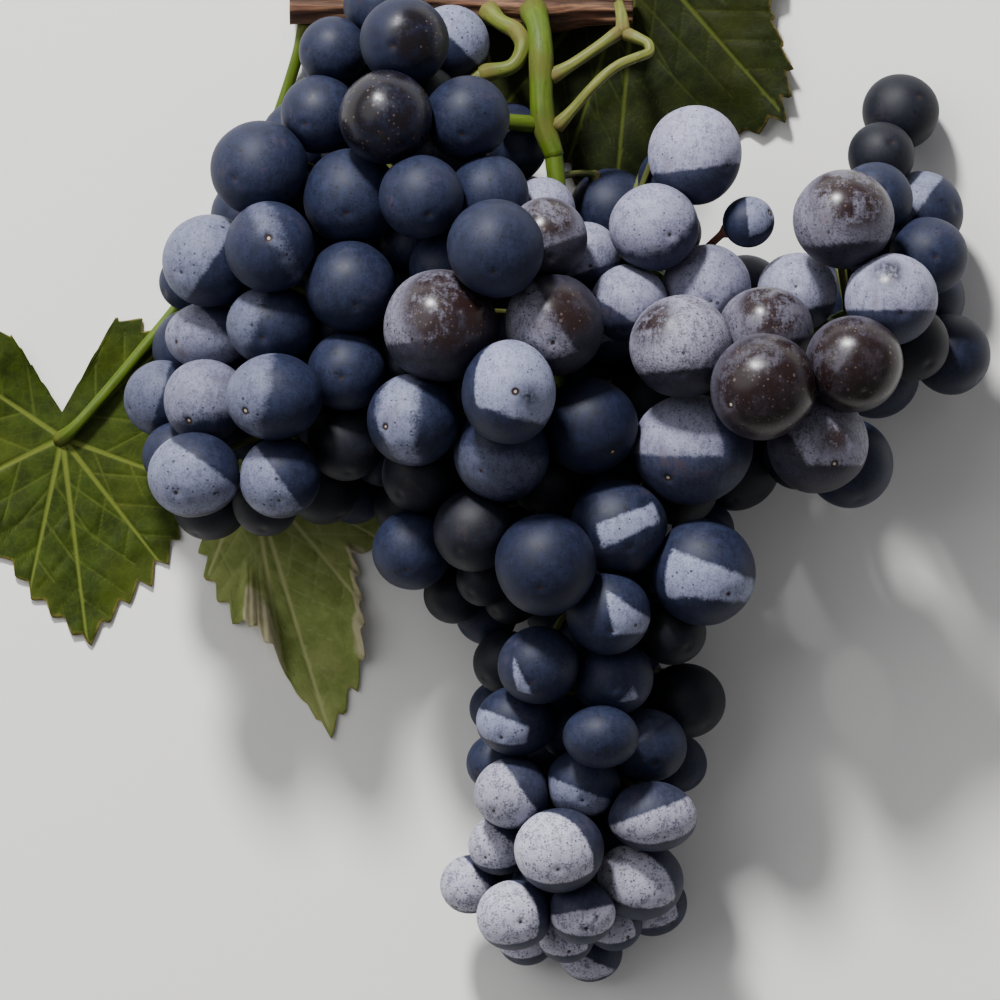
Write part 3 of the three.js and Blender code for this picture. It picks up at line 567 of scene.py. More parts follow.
def nearest_pair(joined, waiting, obstacles):
    """The waiting berry nearest to a group with nothing in the way, and how far off it is."""
    best_gap, best = math.inf, None
    for inner in joined:
        for outer in waiting:
            gap = math.dist(inner.place, outer.place) - inner.radius - outer.radius
            if gap < best_gap and (best is None or not blocked(inner, outer, obstacles)):
                best_gap, best = gap, outer
    return best_gap, best


def name_hidden(berries):
    """Gives each hidden berry the number of its node, or of the nearest node if its group is too small."""
    obstacles = stem_pieces() + [(berry.place, berry.place, berry.radius) for berry in berries]
    waiting = [berry for berry in berries if berry.node == "hidden"]
    groups = []
    while waiting:
        group = [waiting.pop(0)]
        while waiting and len(group) < HIDDEN_NODE_SIZE:
            gap, outer = nearest_pair(group, waiting, obstacles)
            if gap > TOUCHING:
                break
            group.append(outer)
            waiting.remove(outer)
        groups.append(group)
    kept = [group for group in groups if len(group) >= SMALLEST_HIDDEN_NODE]
    for number, group in enumerate(kept):
        for berry in group:
            berry.node = f"hidden_{number + 1}"
    seated = [berry for group in kept for berry in group]
    for berry in berries:
        if berry.node == "hidden":
            berry.node = min(seated, key=lambda other: math.dist(other.place, berry.place)).node


# Berries as they hang: a little swollen, and pressed flat where they meet
SWELL = 1.06
SKIN_GAP = 0.06
PRESS_ROUNDING = 0.9
LEAST_LEAN = 0.15
OBLONG = 0.035
OBLONG_LEAST = 0.2
LUMPS = 0.03
LUMP_SIZE = 9.0
DIMPLE_DEPTH = 0.3
DIMPLE_REACH = 1.0
NECK_DEPTH = 0.35
NECK_REACH = 1.7

# Berries press each other if their middles are nearer than this many times both radii
TOUCHING_SIZES = 1.12

# Balls of rings and sides: the rings crowd at the pole, and the last ball is for trying out poles
SHOWN_BALL = (36, 52)
HIDDEN_BALL = (22, 32)
TRIAL_BALL = (9, 14)
POLE_CROWDING = 1.25
ODD_WAY = (0.31, 0.95, 0.17)

# The style end: how far gravity and the eye's side pull it, and how clear it and the neck are of others
PULL_DOWN = 0.7
PULL_UP = 0.75
STYLE_CLEARANCE = 0.75
NECK_CLEARANCE = 0.8
BONE_STEPS = 30
LEAST_DEPTH = 0.02

# Looks: skin, cover of the bloom, how strong the pale bloom of painted sunlight is, reach of the rubbed skin
# in radians, specks.
# The shaded slate, dusk and deep shade skins are darkened as painted shade.
LOOKS = {
    "s": ("slate_shaded", 0.78, 0, 0, 0.3),
    "m": ("slate_shaded", 0.78, 0.7, 0, 0.27),
    "e": ("dusk_shaded", 0.8, 0, 0, 0.25),
    "g": ("umber", 0.75, 0.75, 0.62, 0.5),
    "b": ("umber", 0.75, 0.85, 0.75, 0.5),
    "n": ("deep_shade", 0.8, 0, 0, 0.2),
    "h": ("slate_shaded", 0.7, 0, 0, 0.2),
    "d": ("sable", 0.6, 0.3, 1.25, 0.5),
    "o": ("dusk_shaded", 0.78, 0, 0.85, 0.3),
    "w": ("umber", 0.7, 0.6, 1.1, 0.6),
    "p": ("silver", 0.85, 0.8, 0, 0.17),
    "t": ("ash", 0.85, 1, 0, 0.75),
}

# How much looks, specks and the place of the pattern vary between berries, and the bloom at pressed edges
LOOK_JITTER = 0.07
SPECK_SPREAD = (0.7, 1.2)
EDGE_BLOOM = 0.14
EDGE_REACH = 0.9
GRAIN_SHIFT = 400

# Painted sunlight: pale bloom that stands for where the sun falls, ending at painted shadow edges, lines
# across
# the berry as seen from above: the direction in degrees in which the pale bloom lies, and how far the line is
# from the berry's middle that way, in radii
SUNLIT_LINES = {
    "m": [(140, 0.1)],
    "g": [(95, -0.15)],
    "b": [(95, -0.35)],
    "d": [(120, 0.15)],
    "w": [(110, -0.2)],
    "p": [(105, -0.45)],
    "t": [(100, -0.7), (215, -0.6)],
}

# The same painted sunlit patches and shadow lines on berries of their own, with how strong the pale bloom is
SUNLIT_AREAS = {
    ("left_wing_edge", 0): (0.55, [(145, -0.1)]),
    ("left_wing_edge", 1): (0.48, [(215, -0.35)]),
    ("left_wing_edge", 2): (0.46, [(97, -0.4)]),
    ("left_wing_edge", 3): (0.62, [(230, -0.35)]),
    ("left_wing_middle", 1): (0.26, [(30, 0.05), (205, -0.4)]),
    ("left_wing_middle", 2): (0.38, [(165, 0.3)]),
    ("left_wing_middle", 3): (0.42, [(175, 0.15)]),
    ("left_wing_middle", 4): (0.6, [(215, 0.0)]),
    ("left_wing_far", 0): (0.3, [(160, 0.0)]),
    ("left_wing_top", 3): (0.8, [(50, 0.1)]),
    ("centre_low_left", 0): (0.65, [(175, -0.1), (20, -0.75)]),
    ("centre_middle", 0): (0.95, [(75, -0.45), (10, -0.7)]),
    ("centre_middle", 1): (0.22, [(265, 0.0)]),
    ("centre_right", 0): (0.75, [(215, -0.1), (100, -0.65)]),
    ("centre_largest", 0): (0.65, [(97, -0.22), (168, -0.15)]),
    ("waist_front", 2): (0.95, [(112, -0.25), (292, -0.22), (20, -0.45), (200, -0.85)]),
    ("waist_right", 0): (0.95, [(245, -0.2), (90, -0.5), (350, -0.72)]),
    ("waist_right", 1): (0.9, [(5, 0.02), (240, -0.45), (90, -0.5)]),
    ("tail_left", 0): (0.9, [(200, 0.45), (0, -0.62), (90, -0.73)]),
    ("tail_left", 1): (0.9, [(250, 0.0), (100, -0.62), (170, -0.35)]),
    ("tail_left", 2): (0.7, [(215, -0.3)]),
    ("tail_left", 3): (0.85, [(230, -0.35), (100, -0.75)]),
    ("tail_left", 4): (0.95, [(215, -0.45)]),
    ("tail_middle", 0): (0.9, [(313, 0.5), (90, -0.6), (206, -0.36)]),
    ("tail_middle", 1): (0, [(240, 0.0)]),
    ("tail_middle", 2): (0.7, [(250, 0.15)]),
    ("tail_belly", 0): (1, [(100, -0.74), (215, -0.66)]),
    ("tail_belly", 1): (1, [(105, -0.75), (190, -0.62)]),
    ("tail_right", 0): (0.1, [(130, 0.2)]),
    ("tail_right", 1): (0.8, [(292, -0.15), (95, -0.7)]),
    ("tail_right", 2): (0.95, [(80, -0.66), (225, -0.62)]),
    ("tail_end", 0): (0.85, [(285, -0.1), (90, -0.7)]),
    ("tail_end", 1): (0.85, [(245, 0.2)]),
    ("right_wing_brow", 0): (0.95, [(99, -0.3)]),
    ("right_wing_brow", 1): (0.75, [(112, -0.55)]),
    ("right_wing_brow", 2): (0.75, [(60, -0.35)]),
    ("right_wing_inner", 0): (0.68, [(100, -0.8)]),
    ("right_wing_inner", 1): (0.95, [(94, -0.45)]),
    ("right_wing_rise", 0): (0.78, [(100, -0.5)]),
    ("right_wing_rise", 1): (0.6, [(100, -0.35)]),
    ("right_wing_rise", 2): (0.35, [(130, 0.1)]),
    ("right_wing_front", 0): (0.35, [(140, 0.2)]),
    ("right_wing_front", 1): (0.85, [(25, -0.4), (90, -0.45)]),
    ("right_wing_foot", 0): (0.68, [(92, -0.12), (198, -0.5)]),
    ("right_wing_top", 0): (0.65, [(95, -0.5)]),
    ("right_wing_top", 1): (0.85, [(93, -0.25)]),
    ("lone", 0): (0.7, [(8, -0.05), (100, -0.6)]),
}

# Berries on which the painted sunlight thins out slowly towards its lines, as a soft painted shadow edge, and
# how slowly
SOFT_SHADOW_EDGED = [
    ("left_wing_middle", 1), ("left_wing_middle", 2), ("left_wing_middle", 3), ("left_wing_edge", 2),
    ("centre_low_left", 0), ("centre_middle", 1), ("right_wing_brow", 1),
]
SOFT_EDGE = 0.3

# The painted sunlight keeps to a berry's upper side, where the light falls, and painted shadow lines near the
# rim lean so that they curve
UPPER_SIDE = (-0.15, 0.55, 0.82)
UPPER_SIDE_END = -0.2
UPPER_SIDE_SHARPNESS = 0.3
RIM_LINE = -0.5
RIM_LEAN = math.radians(40)
LINE_JITTER = 5
NO_SUNLIT_PATCH = -9.0

# Where the rubbed skin of some berries sits, across and up in radii, with its reach in radians
WORN_PATCHES = {
    ("centre_largest", 0): (0.25, 0.45, 1.05),
    ("centre_right", 0): (0.3, 0.3, 0.6),
    ("centre_top", 1): (0.1, 0.6, 0.75),
    ("right_wing_rise", 1): (0.15, 0.55, 0.9),
    ("right_wing_rise", 2): (0.2, 0.0, 1.35),
    ("right_wing_front", 0): (0.1, 0.05, 1.35),
    ("right_wing_front", 1): (0.35, 0.1, 0.4),
    ("right_wing_top", 0): (0.15, 0.6, 0.95),
    ("right_wing_top", 1): (-0.1, 0.6, 0.4),
    ("right_wing_inner", 1): (-0.6, 0.5, 0.55),
    ("left_wing_brow", 1): (0.0, 0.3, 1.5),
    ("left_wing_top", 0): (0.4, 0.1, 0.8),
    ("centre_middle", 0): (0.4, -0.1, 0.28),
}

# Where rubbed skin sits on the other berries, how far it strays from there and how sharply it ends
WORN_WAY = (0.05, 0.4)
WORN_JITTER = 0.15
PATCH_STEEPNESS = 1.3

# Where the style scar of some berries sits, across and up in radii. The others have a faint one.
SCARS = {
    ("left_wing_edge", 2): (-0.38, -0.48),
    ("left_wing_middle", 1): (0.0, 0.18),
    ("left_wing_middle", 3): (-0.6, -0.3),
    ("centre_middle", 0): (0.13, 0.0),
    ("centre_low_left", 0): (-0.6, -0.15),
    ("centre_low_right", 0): (0.48, -0.54),
    ("right_wing_rise", 2): (-0.62, -0.34),
    ("right_wing_front", 1): (0.31, -0.4),
    ("right_wing_foot", 0): (-0.44, -0.5),
    ("lone", 0): (0.85, 0.35),
}
FAINT_SCAR = 0.42

# How far some berries are pressed out of round, across and along the bunch
STRETCHES = {
    ("left_wing_edge", 1): (1.12, 0.86),
    ("left_wing_edge", 3): (1.03, 0.95),
    ("left_wing_middle", 2): (1.05, 0.94),
    ("left_wing_middle", 3): (1.04, 0.95),
    ("centre_middle", 0): (0.95, 1.05),
    ("right_wing_brow", 0): (0.97, 1.04),
    ("right_wing_rise", 1): (1.05, 0.94),
    ("right_wing_foot", 0): (1.04, 0.95),
    ("tail_left", 1): (1.07, 0.93),
    ("tail_middle", 0): (1.06, 0.94),
    ("tail_middle", 1): (1.09, 0.9),
    ("tail_right", 1): (1.12, 0.88),
}
TAIL_STRETCH = (1.03, 0.97)


def facing(across, up):
    """The direction of a spot that shows on a berry's upper side, across and up from its middle."""
    return unit([across, up, math.sqrt(max(1 - across ** 2 - up ** 2, LEAST_DEPTH))])


def skeleton():
    """Closely spaced points along the stems that the berries of each wing and of the middle hang from."""
    routes = {name: smooth_route(route, BONE_STEPS) for name, route, _, _ in STEMS}
    bones = {wing: routes[f"{wing}_stalk"] for wing in ("left_wing", "right_wing")}
    bones["middle"] = np.concatenate([routes["rachis_upper"], routes["rachis_lower"]])
    bones["hidden"] = np.concatenate([*bones.values()])
    bones["lone"] = bones["right_wing"]
    return bones


def nearest_bone(berry, spot, bones):
    """The point nearest to a spot on the stems that a berry's own wing hangs from."""
    family = next((name for name in bones if berry.node.startswith(name)), "middle")
    points = bones[family]
    return points[np.argmin(np.linalg.norm(points - spot, axis=1))]


def ball_ways(rings, sides):
    """Directions from a ball's middle with a pole at +Z where the rings crowd, and the ball's faces."""
    turn = np.pi * (np.arange(1, rings) / rings) ** POLE_CROWDING
    round_ = 2 * np.pi * np.arange(sides) / sides
    turn, round_ = np.meshgrid(turn, round_, indexing="ij")
    grid = np.stack([np.sin(turn) * np.cos(round_), np.sin(turn) * np.sin(round_), np.cos(turn)], -1)
    ways = np.concatenate([[[0, 0, 1]], grid.reshape(-1, 3), [[0, 0, -1]]])
    return ways, lattice_faces(rings - 1, sides)


def lattice_faces(rings, sides):
    """Faces of rings of vertices with a single vertex before the first ring and after the last."""
    ring, side = np.meshgrid(np.arange(rings - 1), np.arange(sides), indexing="ij")
    ring, side = ring.ravel(), side.ravel()
    after = (side + 1) % sides
    quads = 1 + np.stack([ring * sides + side, (ring + 1) * sides + side,
                          (ring + 1) * sides + after, ring * sides + after], 1)
    side = np.arange(sides)
    after = (side + 1) % sides
    none = np.full(sides, -1)
    last = (rings - 1) * sides + 1
    first_fan = np.stack([np.zeros(sides, int), 1 + side, 1 + after, none], 1)
    last_fan = np.stack([np.full(sides, rings * sides + 1), last + after, last + side, none], 1)
    return np.concatenate([quads, first_fan, last_fan])


def flipped(faces):
    """The same faces seen from the other side."""
    fan = faces[:, 3:] < 0
    return np.where(fan, faces[:, [0, 2, 1, 3]], faces[:, [0, 3, 2, 1]])


def turned(ways, pole):
    """Directions turned so that +Z comes to the pole."""
    side = unit(np.cross(pole, ODD_WAY))
    return ways @ np.stack([side, np.cross(pole, side), pole])


def soft_least(first, second, rounding):
    """The smaller of two values, rounded off where they are nearly equal."""
    share = np.clip(0.5 + 0.5 * (second - first) / rounding, 0, 1)
    return second + (first - second) * share - rounding * share * (1 - share)


def berry_pole(berry, near, bones):
    """The way that a berry's style end points: away from the stalks and down the bunch, clear of others."""
    if berry.key in SCARS:
        return facing(*SCARS[berry.key])
    place = np.array(berry.place)
    bone = nearest_bone(berry, place, bones)
    wish = unit(unit(place - bone) + np.array([0, -PULL_DOWN, PULL_UP]))
    ways, _ = ball_ways(*TRIAL_BALL)
    ways = turned(ways, wish)
    score = ways @ wish
    for other in near:
        towards = unit(np.array(other.place) - place)
        score = score - np.clip(ways @ towards - STYLE_CLEARANCE, 0, 1)
        score = score - np.clip(-ways @ towards - NECK_CLEARANCE, 0, 1)
    return ways[np.argmax(score)]


def sunlit_area(berry, dice, ways):
    """How strong a berry's pale bloom of painted sunlight is, and how far beyond its nearest painted shadow
    edge each point lies, in radii.
    """
    _, _, sunlit_strength, _, _ = LOOKS[berry.look]
    sunlit_strength, lines = SUNLIT_AREAS.get(berry.key, (sunlit_strength, SUNLIT_LINES.get(berry.look)))
    if not lines:
        return 0, np.full(len(ways), NO_SUNLIT_PATCH)
    beyond = (ways @ unit(UPPER_SIDE) - UPPER_SIDE_END) * UPPER_SIDE_SHARPNESS
    for bearing, away in lines:
        turn = math.radians(bearing + dice.uniform(-LINE_JITTER, LINE_JITTER))
        lean = RIM_LEAN if away < RIM_LINE else 0
        way = [math.cos(turn) * math.cos(lean), math.sin(turn) * math.cos(lean), math.sin(lean)]
        end = away * math.cos(lean) + math.sqrt(1 - away ** 2) * math.sin(lean)
        beyond = np.minimum(beyond, ways @ way - end)
    return sunlit_strength, beyond * (SOFT_EDGE if berry.key in SOFT_SHADOW_EDGED else 1)


def patch(ways, spot, reach):
    """0.5 at the edge of a patch round a spot, more inside it and less outside."""
    apart = np.arccos(np.clip(ways @ facing(*spot), -1, 1))
    return np.clip(0.5 + (reach - apart) * PATCH_STEEPNESS, 0, 1)


def free_reach(berry, dice, ways, pole):
    """How far a berry's skin reaches each way where nothing presses it, and how far the style is."""
    radius = berry.radius * SWELL
    along = ways @ pole
    usual = TAIL_STRETCH if berry.node.startswith("tail") else (1, 1)
    stretch = STRETCHES.get(berry.key, usual)
    reach = radius / np.linalg.norm(ways / np.array([*stretch, 1]), axis=1)
    reach = reach * (1 + OBLONG * dice.uniform(OBLONG_LEAST, 1) * (along ** 2 - 1 / 3))
    reach = reach * (1 + LUMPS * (ripple(np.array(berry.place) + ways * radius, SEED, LUMP_SIZE) - 0.5))
    from_style = np.arccos(np.clip(along, -1, 1)) * radius
    from_neck = np.arccos(np.clip(-along, -1, 1)) * radius
    reach = reach - DIMPLE_DEPTH * np.exp(-(from_style / DIMPLE_REACH) ** 2)
    return reach - NECK_DEPTH * np.exp(-(from_neck / NECK_REACH) ** 2), from_style


def pressed(reach, lean, away):
    """A reach cut softly back to a plane that lies away from the middle."""
    limit = away / np.maximum(lean, LEAST_LEAN)
    return np.where(lean > LEAST_LEAN, soft_least(reach, limit, PRESS_ROUNDING), reach), limit


def pressed_reach(berry, near, ways, free):
    """The reach where a berry's neighbours and the floor press it, and 1 near the edges of those places."""
    middle = np.array(berry.place)
    radius = berry.radius * SWELL
    reach, edge = free, np.zeros(len(ways))
    for other in near:
        towards = np.array(other.place) - middle
        far = np.linalg.norm(towards)
        plane = (far ** 2 + radius ** 2 - (other.radius * SWELL) ** 2) / (2 * far) - SKIN_GAP / 2
        reach, limit = pressed(reach, ways @ (towards / far), plane)
        edge = np.maximum(edge, 1 - ease(0, EDGE_REACH, limit - free))
    floor = middle[2] - ground_height(middle[0], middle[1]) + SEAT_GAP / 2
    reach, _ = pressed(reach, -ways[:, 2], floor)
    return reach, edge


def skin_traits(berry, dice, ways, edge, from_style):
    """What the skin's material is told at each point."""
    radius = berry.radius * SWELL
    _, bloom, _, worn, specks = LOOKS[berry.look]
    sunlit_strength, beyond = sunlit_area(berry, dice, ways)
    usual = (*(way + dice.uniform(-WORN_JITTER, WORN_JITTER) for way in WORN_WAY), worn)
    across, up, worn_reach = WORN_PATCHES.get(berry.key, usual)
    nothing = np.zeros(len(ways))
    return {
        "bloom": bloom + dice.uniform(-LOOK_JITTER, LOOK_JITTER) + EDGE_BLOOM * edge,
        # pale and thick: where the painted sunlight lies on the berry, and how strong it is
        "pale": beyond,
        "thick": nothing + sunlit_strength,
        "worn": patch(ways, (across, up), worn_reach) if worn_reach else nothing,
        "specks": nothing + specks * dice.uniform(*SPECK_SPREAD),
        "scar": from_style + (0 if berry.key in SCARS else FAINT_SCAR),
        "grain": ways * radius + np.array([dice.uniform(-GRAIN_SHIFT, GRAIN_SHIFT) for _ in range(3)]),
    }


def berry_mesh(berry, near, bones):
    """Points in millimetres, faces and traits of one berry, pressed against the berries near it."""
    dice = random.Random(f"{SEED} {berry.node} {berry.index}")
    ways, faces = ball_ways(*(HIDDEN_BALL if berry.node.startswith("hidden") else SHOWN_BALL))
    pole = berry_pole(berry, near, bones)
    ways = turned(ways, pole)
    middle = np.array(berry.place)
    free, from_style = free_reach(berry, dice, ways, pole)
    reach, edge = pressed_reach(berry, near, ways, free)
    traits = skin_traits(berry, dice, ways, edge, from_style)
    berry.pole = pole
    berry.neck = middle - pole * reach[-1]
    return middle + ways * reach[:, None], faces, traits


def joined(parts):
    """Several lists of points, faces and traits as one."""
    points = np.concatenate([part[0] for part in parts])
    starts = np.cumsum([0] + [len(part[0]) for part in parts[:-1]])
    faces = np.concatenate([
        np.where(part[1] < 0, -1, part[1] + start) for part, start in zip(parts, starts)
    ])
    traits = {name: np.concatenate([part[2][name] for part in parts]) for name in parts[0][2]}
    return points, faces, traits


def make_piece(name, shape, materials, kinds=None):
    """An object at the origin from points in working millimetres, riding on the part's one body."""
    points, faces, traits = shape
    points[:, 2] = np.maximum(points[:, 2], 0)
    corners = faces.ravel()
    corners = corners[corners >= 0]
    counts = (faces >= 0).sum(axis=1)
    mesh = bpy.data.meshes.new(name)
    mesh.vertices.add(len(points))
    mesh.vertices.foreach_set("co", placed(points).ravel())
    mesh.loops.add(len(corners))
    mesh.loops.foreach_set("vertex_index", corners.astype(np.int32))
    mesh.polygons.add(len(faces))
    mesh.polygons.foreach_set("loop_start", np.concatenate([[0], np.cumsum(counts)[:-1]]).astype(np.int32))
    for material in materials:
        mesh.materials.append(material)
    if kinds is not None:
        mesh.polygons.foreach_set("material_index", np.asarray(kinds, np.int32))
    mesh.update(calc_edges=True)
    mesh.shade_smooth()
    for trait, values in traits.items():
        vector = np.ndim(values) == 2
        made = mesh.attributes.new(trait, "FLOAT_VECTOR" if vector else "FLOAT", "POINT")
        made.data.foreach_set("vector" if vector else "value", np.asarray(values, np.float32).ravel())
    piece = bpy.data.objects.new(name, mesh)
    bpy.context.scene.collection.objects.link(piece)
    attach(piece, "root")
    return piece


# Stems
STEM_SIDES = 20
STEM_STEPS = 9
STEM_OVERLAP = 1.0
STEM_RIBS = 6
RIB_HEIGHT = 0.035
WOBBLE = 0.06
WOBBLE_SIZE = 7
END_DOME = 0.45
FIRST_SIDE = (0.3, 0.2, 0.93)
STUB_TAPER = 0.86
STUB_STEPS = 2

# The berries' own stems, with a swollen seat on the berry and a flared foot, which bend round other berries
PEDICEL_DIAMETER = 1.35
PEDICEL_SIDES = 7
PEDICEL_STEPS = 14
PEDICEL_FINER = 3
PEDICEL_NEAR = 45
PEDICEL_CLEARANCE = 0.1
LEAD = 3.0
LEAD_SHARE = 0.4
PUSH_ROUNDS = 40
PUSH_SHARE = 0.5
SMOOTHING = 0.4
SMOOTHING_ROUNDS = 3
SEAT_DIAMETER = 2.9
SEAT_REACH = 1.1
FOOT_FLARE = 0.25
FOOT_REACH = 2.2

# Swellings of the stems: the share of the way along, how much thicker and over how many millimetres
SWELLINGS = {
    "main_stalk": [(0.02, 0.25, 4), (0.47, 0.1, 4), (0.83, 0.2, 4)],
    "rachis_upper": [(0.33, 0.3, 4), (0.7, 0.25, 4)],
    "rachis_lower": [(0.1, 0.25, 4), (0.5, 0.3, 4), (0.8, 0.3, 3)],
    "left_wing_loop": [(0.0, 0.4, 3), (0.42, 0.18, 3), (0.97, 0.3, 3)],
    "left_wing_stalk": [(0.05, 0.3, 3), (0.5, 0.3, 4)],
    "right_wing_stalk": [(0.05, 0.45, 4), (0.5, 0.3, 4)],
    "tendril_upper_arm": [(0.0, 0.45, 3), (1.0, 0.25, 3)],
    "tendril_lower_arm": [(0.0, 0.45, 3)],
    "tendril_hook": [(1.0, 0.25, 3)],
    "tendril_riser": [(0.05, 0.25, 3)],
    "low_leaf_petiole": [(0.0, 0.6, 4), (1.0, 0.4, 4)],
    "left_leaf_petiole": [(0.0, 0.6, 4), (1.0, 0.4, 4)],
    "top_leaf_petiole": [(0.0, 0.6, 4), (1.0, 0.4, 4)],
}

# How thick some stems are to the eye: the share of the way along, and the diameter
GIRTHS = {
    "main_stalk": [(0, 4.6), (0.7, 4.3), (0.85, 3.9), (1, 3.5)],
    "rachis_upper": [(0, 3.5), (0.25, 3.3), (0.5, RACHIS_DIAMETER), (1, RACHIS_DIAMETER)],
    "left_wing_loop": [(0, 3.2), (0.5, 3.0), (1, 2.7)],
    "left_wing_stalk": [(0, 2.7), (1, RACHIS_TIP_DIAMETER)],
}


def round_rings(values, sides, last=None):
    """A value of each ring for all points of a sweep, and those of its ends."""
    return np.concatenate([[values[0]], np.repeat(values, sides), [values[-1] if last is None else last]])


def sweep(path, radii, sides, ribs=0):
    """A round stem along a path, closed at both ends by low domes."""
    path = np.asarray(path, float)
    radii = np.asarray(radii, float)
    ways = unit(np.gradient(path, axis=0))
    normal = unit(np.cross(ways[0], FIRST_SIDE))
    turns = 2 * np.pi * np.arange(sides) / sides
    along = gone_along(path)
    rings, grains = [], []
    for spot, way, radius, gone in zip(path, ways, radii, along):
        normal = unit(normal - way * (normal @ way))
        out = np.cos(turns)[:, None] * normal + np.sin(turns)[:, None] * np.cross(way, normal)
        reach = radius * (1 + (RIB_HEIGHT * np.cos(ribs * turns) if ribs else 0 * turns))
        rings.append(spot + out * reach[:, None])
        grains.append(np.stack([np.cos(turns) * radius, np.sin(turns) * radius, np.full(sides, gone)], 1))
    first = path[0] - ways[0] * radii[0] * END_DOME
    last = path[-1] + ways[-1] * radii[-1] * END_DOME
    points = np.concatenate([[first], *rings, [last]])
    grain = np.concatenate([[[0, 0, -1]], *grains, [[0, 0, along[-1] + 1]]])
    return points, flipped(lattice_faces(len(path), sides)), {"grain": grain}


def stem_shape(name, route, diameters, steps):
    """One stem with swollen joints and low ribs, reaching a little into what it grows from."""
    path = smooth_route(route, steps * STEM_STEPS)
    start = path[0] + unit(path[0] - path[1]) * STEM_OVERLAP
    end = path[-1] + unit(path[-1] - path[-2]) * STEM_OVERLAP
    path = np.concatenate([[start], path, [end]])
    along = gone_along(path)
    shares, girths = zip(*GIRTHS.get(name, [(0, diameters[0]), (1, diameters[1])]))
    radii = np.interp(along / along[-1], shares, girths) / 2
    node = np.zeros(len(path))
    for share, gain, reach in SWELLINGS.get(name, []):
        swell = np.exp(-((along - share * along[-1]) / reach) ** 2)
        radii = radii * (1 + gain * swell)
        node = np.maximum(node, swell)
    wobble = 1 + WOBBLE * (ripple(path, SEED + len(name), WOBBLE_SIZE) - 0.5)
    points, faces, traits = sweep(path, radii * wobble, STEM_SIDES, STEM_RIBS)
    traits["node"] = round_rings(node, STEM_SIDES)
    return points, faces, traits


def pushed_route(start, end, first_way, middles, radii):
    """A route from start to end that bends round the berries on its way."""
    share = np.linspace(0, 1, PEDICEL_STEPS)[:, None]
    lead = start + first_way * min(LEAD, np.linalg.norm(end - start) * LEAD_SHARE)
    path = (1 - share) ** 2 * start + 2 * share * (1 - share) * lead + share ** 2 * end
    for _ in range(PUSH_ROUNDS):
        gaps = path[:, None, :] - middles[None]
        far = np.linalg.norm(gaps, axis=2)
        deep = np.maximum(radii[None] - far, 0)
        push = (gaps / np.maximum(far, TINY)[..., None] * deep[..., None]).sum(axis=1)
        moved = path + push * PUSH_SHARE
        moved[1:-1] = moved[1:-1] * (1 - SMOOTHING) + (moved[:-2] + moved[2:]) * SMOOTHING / 2
        moved[:, 2] = np.minimum(moved[:, 2], max(start[2], end[2]))
        path[2:-1] = moved[2:-1]
    return path


def pedicel_shape(berry, target, others, diameter=PEDICEL_DIAMETER):
    """A berry's own short stem, from its seat on the berry to the stalk it hangs from."""
    near = [o for o in others if math.dist(o.place, berry.place) < PEDICEL_NEAR and o is not berry]
    middles = np.array([berry.place] + [o.place for o in near])
    margin = diameter / 2 + PEDICEL_CLEARANCE
    radii = np.array([b.radius * SWELL + margin for b in [berry] + near])
    path = pushed_route(berry.neck, np.asarray(target), -berry.pole, middles, radii)
    share = np.linspace(0, 1, PEDICEL_FINER * (PEDICEL_STEPS - 1) + 1)
    path = np.stack([np.interp(share, np.linspace(0, 1, len(path)), path[:, axis]) for axis in range(3)], 1)
    for _ in range(SMOOTHING_ROUNDS):
        path[1:-1] = (path[:-2] + path[1:-1] * 2 + path[2:]) / 4
    along = gone_along(path)
    seat = np.exp(-(along / SEAT_REACH) ** 2)
    radii = diameter / 2 + (SEAT_DIAMETER - PEDICEL_DIAMETER) / 2 * seat
    radii = radii + FOOT_FLARE * np.exp(-((along - along[-1]) / FOOT_REACH) ** 2)
    points, faces, traits = sweep(path, radii, PEDICEL_SIDES)
    traits["node"] = round_rings(seat, PEDICEL_SIDES, 0)
    return points, faces, traits


# Cane: how thick it is along its length, against its usual diameter, and how far its bark lifts
CANE_SIDES = 72
CANE_STEPS = 150
CANE_GIRTHS = [(0, 0.98), (12, 0.94), (38, 0.97), (46, 1.18), (51, 1.17), (57, 0.94), (66, 0.93)]
CANE_LOWEST = 0.15
BARK_RELIEF = 0.5
STRING_SIZE = 6
BROAD_BARK_SIZE = 16

# Bark: how the strings crowd round the cane and stretch along it, and what each kind adds to the relief
BROAD_STRINGS = (24, 0.35)
FINE_STRINGS = (68, 0.8)
BROAD_STRING_SHARE = 1.3
FINE_STRING_SHARE = 0.7
BROAD_BARK_SHARE = 0.9


def bark_strings(out, along, crowding, stretch, seed):
    """Strings of bark that run along the cane, from 0 to 1."""
    return ripple(np.column_stack([unit(out)[:, 1:] * crowding, along * stretch]), seed, STRING_SIZE)


